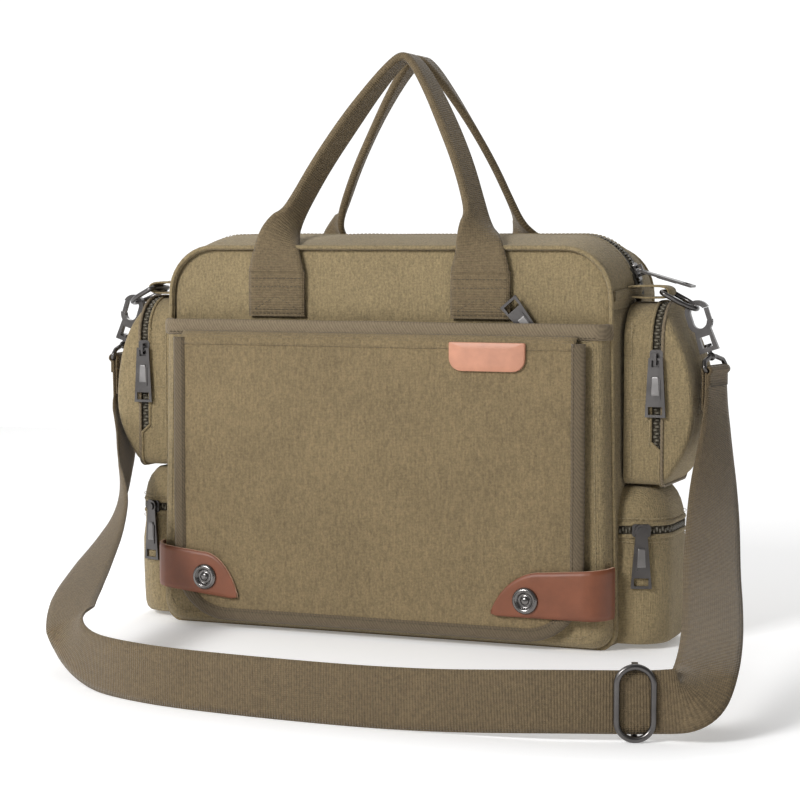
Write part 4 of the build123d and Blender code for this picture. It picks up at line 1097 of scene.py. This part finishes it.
HANDLE_STATIONS = (
    # half spread, height, distance forward, half width, half thickness, turn in degrees
    (86, 286.5, 62.8, 24.0, 1.1, 0),
    (86, 297, 62.8, 21.5, 1.3, 0),
    (85, 309, 62.4, 17.5, 1.9, 6),
    (82, 320, 57.0, 15.5, 2.4, 45),
    (79, 328, 50.5, 12.6, 2.9, 66),
    (73, 343, 45.2, 12.0, 3.1, 72),
    (60, 372, 37.1, 12.0, 3.1, 72),
    (42, 404, 28.3, 12.0, 3.1, 72),
    (25, 431, 20.8, 12.0, 3.1, 80),
    (10, 451, 15.6, 12.0, 3.1, 88),
)
PATCH_X, PATCH_LOW, PATCH_HIGH = {"left": -90.0, "right": 82.0}, 251.0, 287.5
HANDLE_TOP = (3, -14.2, 458.5, 12.0, 3.1, 90)


def handle_path(way):
    """The handle's middle from its left foot over the top to its right foot."""
    drift = lambda z: -4 + 7 * max(0.0, (z - 320) / 139)
    left = [(drift(z) - s, -y, z, w, t, turn) for s, z, y, w, t, turn in HANDLE_STATIONS]
    right = [(drift(z) + s, -y, z, w, t, turn) for s, z, y, w, t, turn in HANDLE_STATIONS]
    points = np.array(left + [HANDLE_TOP] + right[::-1], float)
    points[:, 1] *= -way
    return points


for label, way in (("front", -1), ("back", 1)):
    rows = smooth_rows(handle_path(way), 3)
    turn = np.radians(rows[:, 5])
    across = np.stack([np.cos(turn), -way * np.sin(turn), np.zeros(len(rows))], axis=1)
    middle, half_width, thickness = rows[:, :3] * MM, rows[:, 3] * MM, rows[:, 4] * 2 * MM
    band = band_object(f"handle_{label}_band", middle, across, half_width, thickness, None, columns=11)
    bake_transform(band)
    dress(band, WEBBING, "webbing", f"handle_{label}")
    # The sewn feet: a patch, rows of stitches and a V
    for foot, x in PATCH_X.items():
        heights = np.linspace(PATCH_LOW, PATCH_HIGH, 12)
        centre = [(x, way * (61.6 + 0.5 * math.sin((z - PATCH_LOW) / 34 * math.pi)), z) for z in heights]
        widths = np.tile((1.0, 0, 0), (len(centre), 1))
        foot_name = f"handle_{label}_foot_{foot}"
        patch = band_object(foot_name, np.array(centre) * MM, widths, 0.0242, 0.0026, columns=11)
        nodes = [f"handle_ends_{label}"] if foot == "left" else []
        dress(patch, WEBBING, "webbing", *nodes)
        face = way * 63.3
        lines = [[(x - 22, face, z), (x + 22, face, z)] for z in (253.5, 274.5, 281)]
        lines.append([(x - 19, face, 256.5), (x, face, 267), (x + 19, face, 256.5), (x - 19, face, 256.5)])
        stitches(f"handle_{label}_stitches_{foot}", lines, (0, way, 0), material=DARK_THREAD)

# Canvas loops that hold the D-rings
RING_Y = -19
LOOP_PATH = [(193, 0, 268), (200, 0, 267.4), (210, 0, 267.4), (217, 0, 267.6), (221, 0, 269.4)]
LOOP_PATH += [(222.2, 0, 272), (221, 0, 274.6), (217, 0, 276.4), (210, 0, 276.6)]
LOOP_PATH += [(200, 0, 276.6), (190, 0, 276)]
LOOP_SECTION = [(-10.6, -0.9), (-11, -0.2), (-10.6, 0.5), (0, 0.8)]
LOOP_SECTION += [(10.6, 0.5), (11, -0.2), (10.6, -0.9), (0, -0.8)]
for name, side in SIDES.items():
    path = smooth_rows(LOOP_PATH, 2)
    path[:, 1] = RING_Y
    outs = facing(unit(np.cross(tangents(path), (0, 1, 0))), 1)
    loop_name = f"ring_loop_cloth_{name}"
    loop = sweep(loop_name, place(path, side), LOOP_SECTION, (0, 1, 0), outs * np.array([side, 1, 1]))
    dress(loop, CANVAS, "canvas", f"ring_loop_{name}")
    lines = [[(side * x, RING_Y - 9, 277.6), (side * x, RING_Y + 9, 277.6)] for x in (205, 202.4)]
    stitches(f"ring_loop_stitches_{name}", lines, (0, 0, 1))

# ------------------------------------------------------------------ carried-over parts

HIDDEN = {
    "base_board": plain_material("base_board", (0.02, 0.02, 0.02), 0.7),
    "laptop_sleeve": LINING,
}
METAL_STARTS = (
    "adjuster", "dring", "hook", "strap_ring", "main_slider", "main_pull", "front_slider", "front_pull",
    "upper_slider", "upper_pull", "lower_slider", "lower_pull", "snap_studs",
)
for node_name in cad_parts:
    node = bpy.data.objects.get(node_name)
    if node and node_name in HIDDEN:
        paint(node, HIDDEN[node_name])
    elif node and node_name.startswith(METAL_STARTS):
        paint(node, GUNMETAL)
        bevel = node.modifiers.new("soft_edges", "BEVEL")
        bevel.width = 0.0004
        bevel.segments = 2
        bevel.limit_method = "ANGLE"
        bevel.angle_limit = math.radians(35)
        bevel.harden_normals = False

# Pale plates let into the pulls, apart from the main one: each pull's root, its way down and its face
PULL_MARKS = {}
turn, reach = math.radians(20), LOWER_R + 4.2
for name, side in SIDES.items():
    PULL_MARKS[f"upper_pull_{name}"] = ((side * 217.5, -50.5, 222), (0, 0, -1), (0, -1, 0))
    spot = (side * (198 + reach * math.sin(turn)), -24 - reach * math.cos(turn), LOWER_ZIP_Z)
    PULL_MARKS[f"lower_pull_{name}"] = (spot, (0, 0, -1), (side * math.sin(turn), -math.cos(turn), 0))
lean = math.radians(40)
PULL_MARKS["front_pull"] = ((134, -66.9, 231), (-math.sin(lean), 0, math.cos(lean)), (0, -1, 0))
PLATE = rounded([(-2.6, 13), (2.6, 13), (3.4, 28), (-3.4, 28)], [0.8] * 4, 4, 3)
PLATE_MIDDLE = np.array([0, 20.5])
for name, (spot, down, face) in PULL_MARKS.items():
    spot, down, face = np.array(spot, float), unit(down), unit(face)
    wide = unit(np.cross(down, face))
    plate = []
    for scale, lift in ((1.0, -0.2), (1.0, 0.35), (0.86, 0.6), (0.8, 0.6), (0.0, 0.6)):
        ring = PLATE_MIDDLE + (PLATE - PLATE_MIDDLE) * scale
        plate.append([spot + down * v + wide * u + face * lift for u, v in ring])
    dress(sheet_object(f"{name}_plate", plate, 0, name, close_columns=True), PALE_METAL, "gunmetal")

# The strap's ends fold over the ring bars and are sewn down behind themselves
BAR_X, BAR_Y, BAR_Z, BAR_TURN = 256, -17, 213.0, 3.3
for name, side in SIDES.items():
    across = unit(np.array([0.15, side * 0.99, 0]))
    outwards = unit(np.cross((0, 0, 1), across)) * side
    if outwards[0] * side < 0:
        outwards = -outwards
    bar = np.array([side * BAR_X, BAR_Y, BAR_Z])
    angles = np.linspace(-0.3, math.pi + 0.2, 14)
    up = np.array([0, 0, BAR_TURN])
    turns = [bar + outwards * BAR_TURN * math.cos(a) + up * math.sin(a) for a in angles]
    tail = [bar - outwards * 2.8 - np.array([0, 0, d]) for d in (4, 9, 15, 22, 30)]
    front = [bar + outwards * 1.3 - np.array([0, 0, d]) for d in (12, 7, 3)]
    line = np.array(front + turns + tail) * MM
    fold = band_object(f"strap_fold_{name}", line, np.tile(across, (len(line), 1)), 0.0199, 0.0018)
    dress(fold, STRAP_WEB, "strap_webbing")

# ------------------------------------------------------------------ studio

floor = bpy.data.objects.new("floor", bpy.data.meshes.new("floor"))
FLOOR_HALF, FLOOR_BACK = 40, 1.5
floor_corners = [(-FLOOR_HALF, -FLOOR_HALF, 0), (FLOOR_HALF, -FLOOR_HALF, 0)]
floor_corners += [(FLOOR_HALF, FLOOR_BACK, 0), (-FLOOR_HALF, FLOOR_BACK, 0)]
floor.data.from_pydata(floor_corners, [], [(0, 1, 2, 3)])
scene.collection.objects.link(floor)
floor_material, floor_shader = material_base("floor", 0.9)
floor_shader.inputs["Base Color"].default_value = (0.9, 0.9, 0.9, 1)
floor_shader.inputs["Emission Color"].default_value = (1, 1, 1, 1)
floor_shader.inputs["Emission Strength"].default_value = 0.2
paint(floor, floor_material)

world = bpy.data.worlds.new("studio")
world.use_nodes = True
sky = Nodes(world)
sky_way = sky.add("ShaderNodeTexCoord").outputs["Generated"]
dot = {0: sky_way, 1: (-0.62, 0.78, 0.08)}
backdrop = sky.add("ShaderNodeVectorMath", dot, operation="DOT_PRODUCT").outputs["Value"]
brightness = {"Value": backdrop, "From Min": -0.35, "From Max": 0.8, "To Min": 0.16, "To Max": 1.12}
sky_light = sky.add("ShaderNodeMapRange", brightness)
background = world.node_tree.nodes["Background"]
background.inputs[0].default_value = (1, 1, 1, 1)
sky.link(sky_light.outputs[0], background.inputs[1])
scene.world = world
scene.view_settings.view_transform = "Standard"


def soft_light(name, place_at, aim, size, power):
    lamp = bpy.data.lights.new(name, "AREA")
    lamp.size, lamp.energy = size, power
    holder = bpy.data.objects.new(name, lamp)
    holder.location = place_at
    holder.rotation_euler = (Vector(aim) - Vector(place_at)).to_track_quat("-Z", "Y").to_euler()
    scene.collection.objects.link(holder)


soft_light("key", (-0.75, -2.1, 1.35), (0, 0, 0.15), 0.7, 48)
soft_light("fill", (1.8, -1.6, 0.9), (0, 0, 0.15), 1.2, 0.6)
soft_light("rim", (-0.6, 1.6, 1.6), (0, 0, 0.2), 1.0, 12)
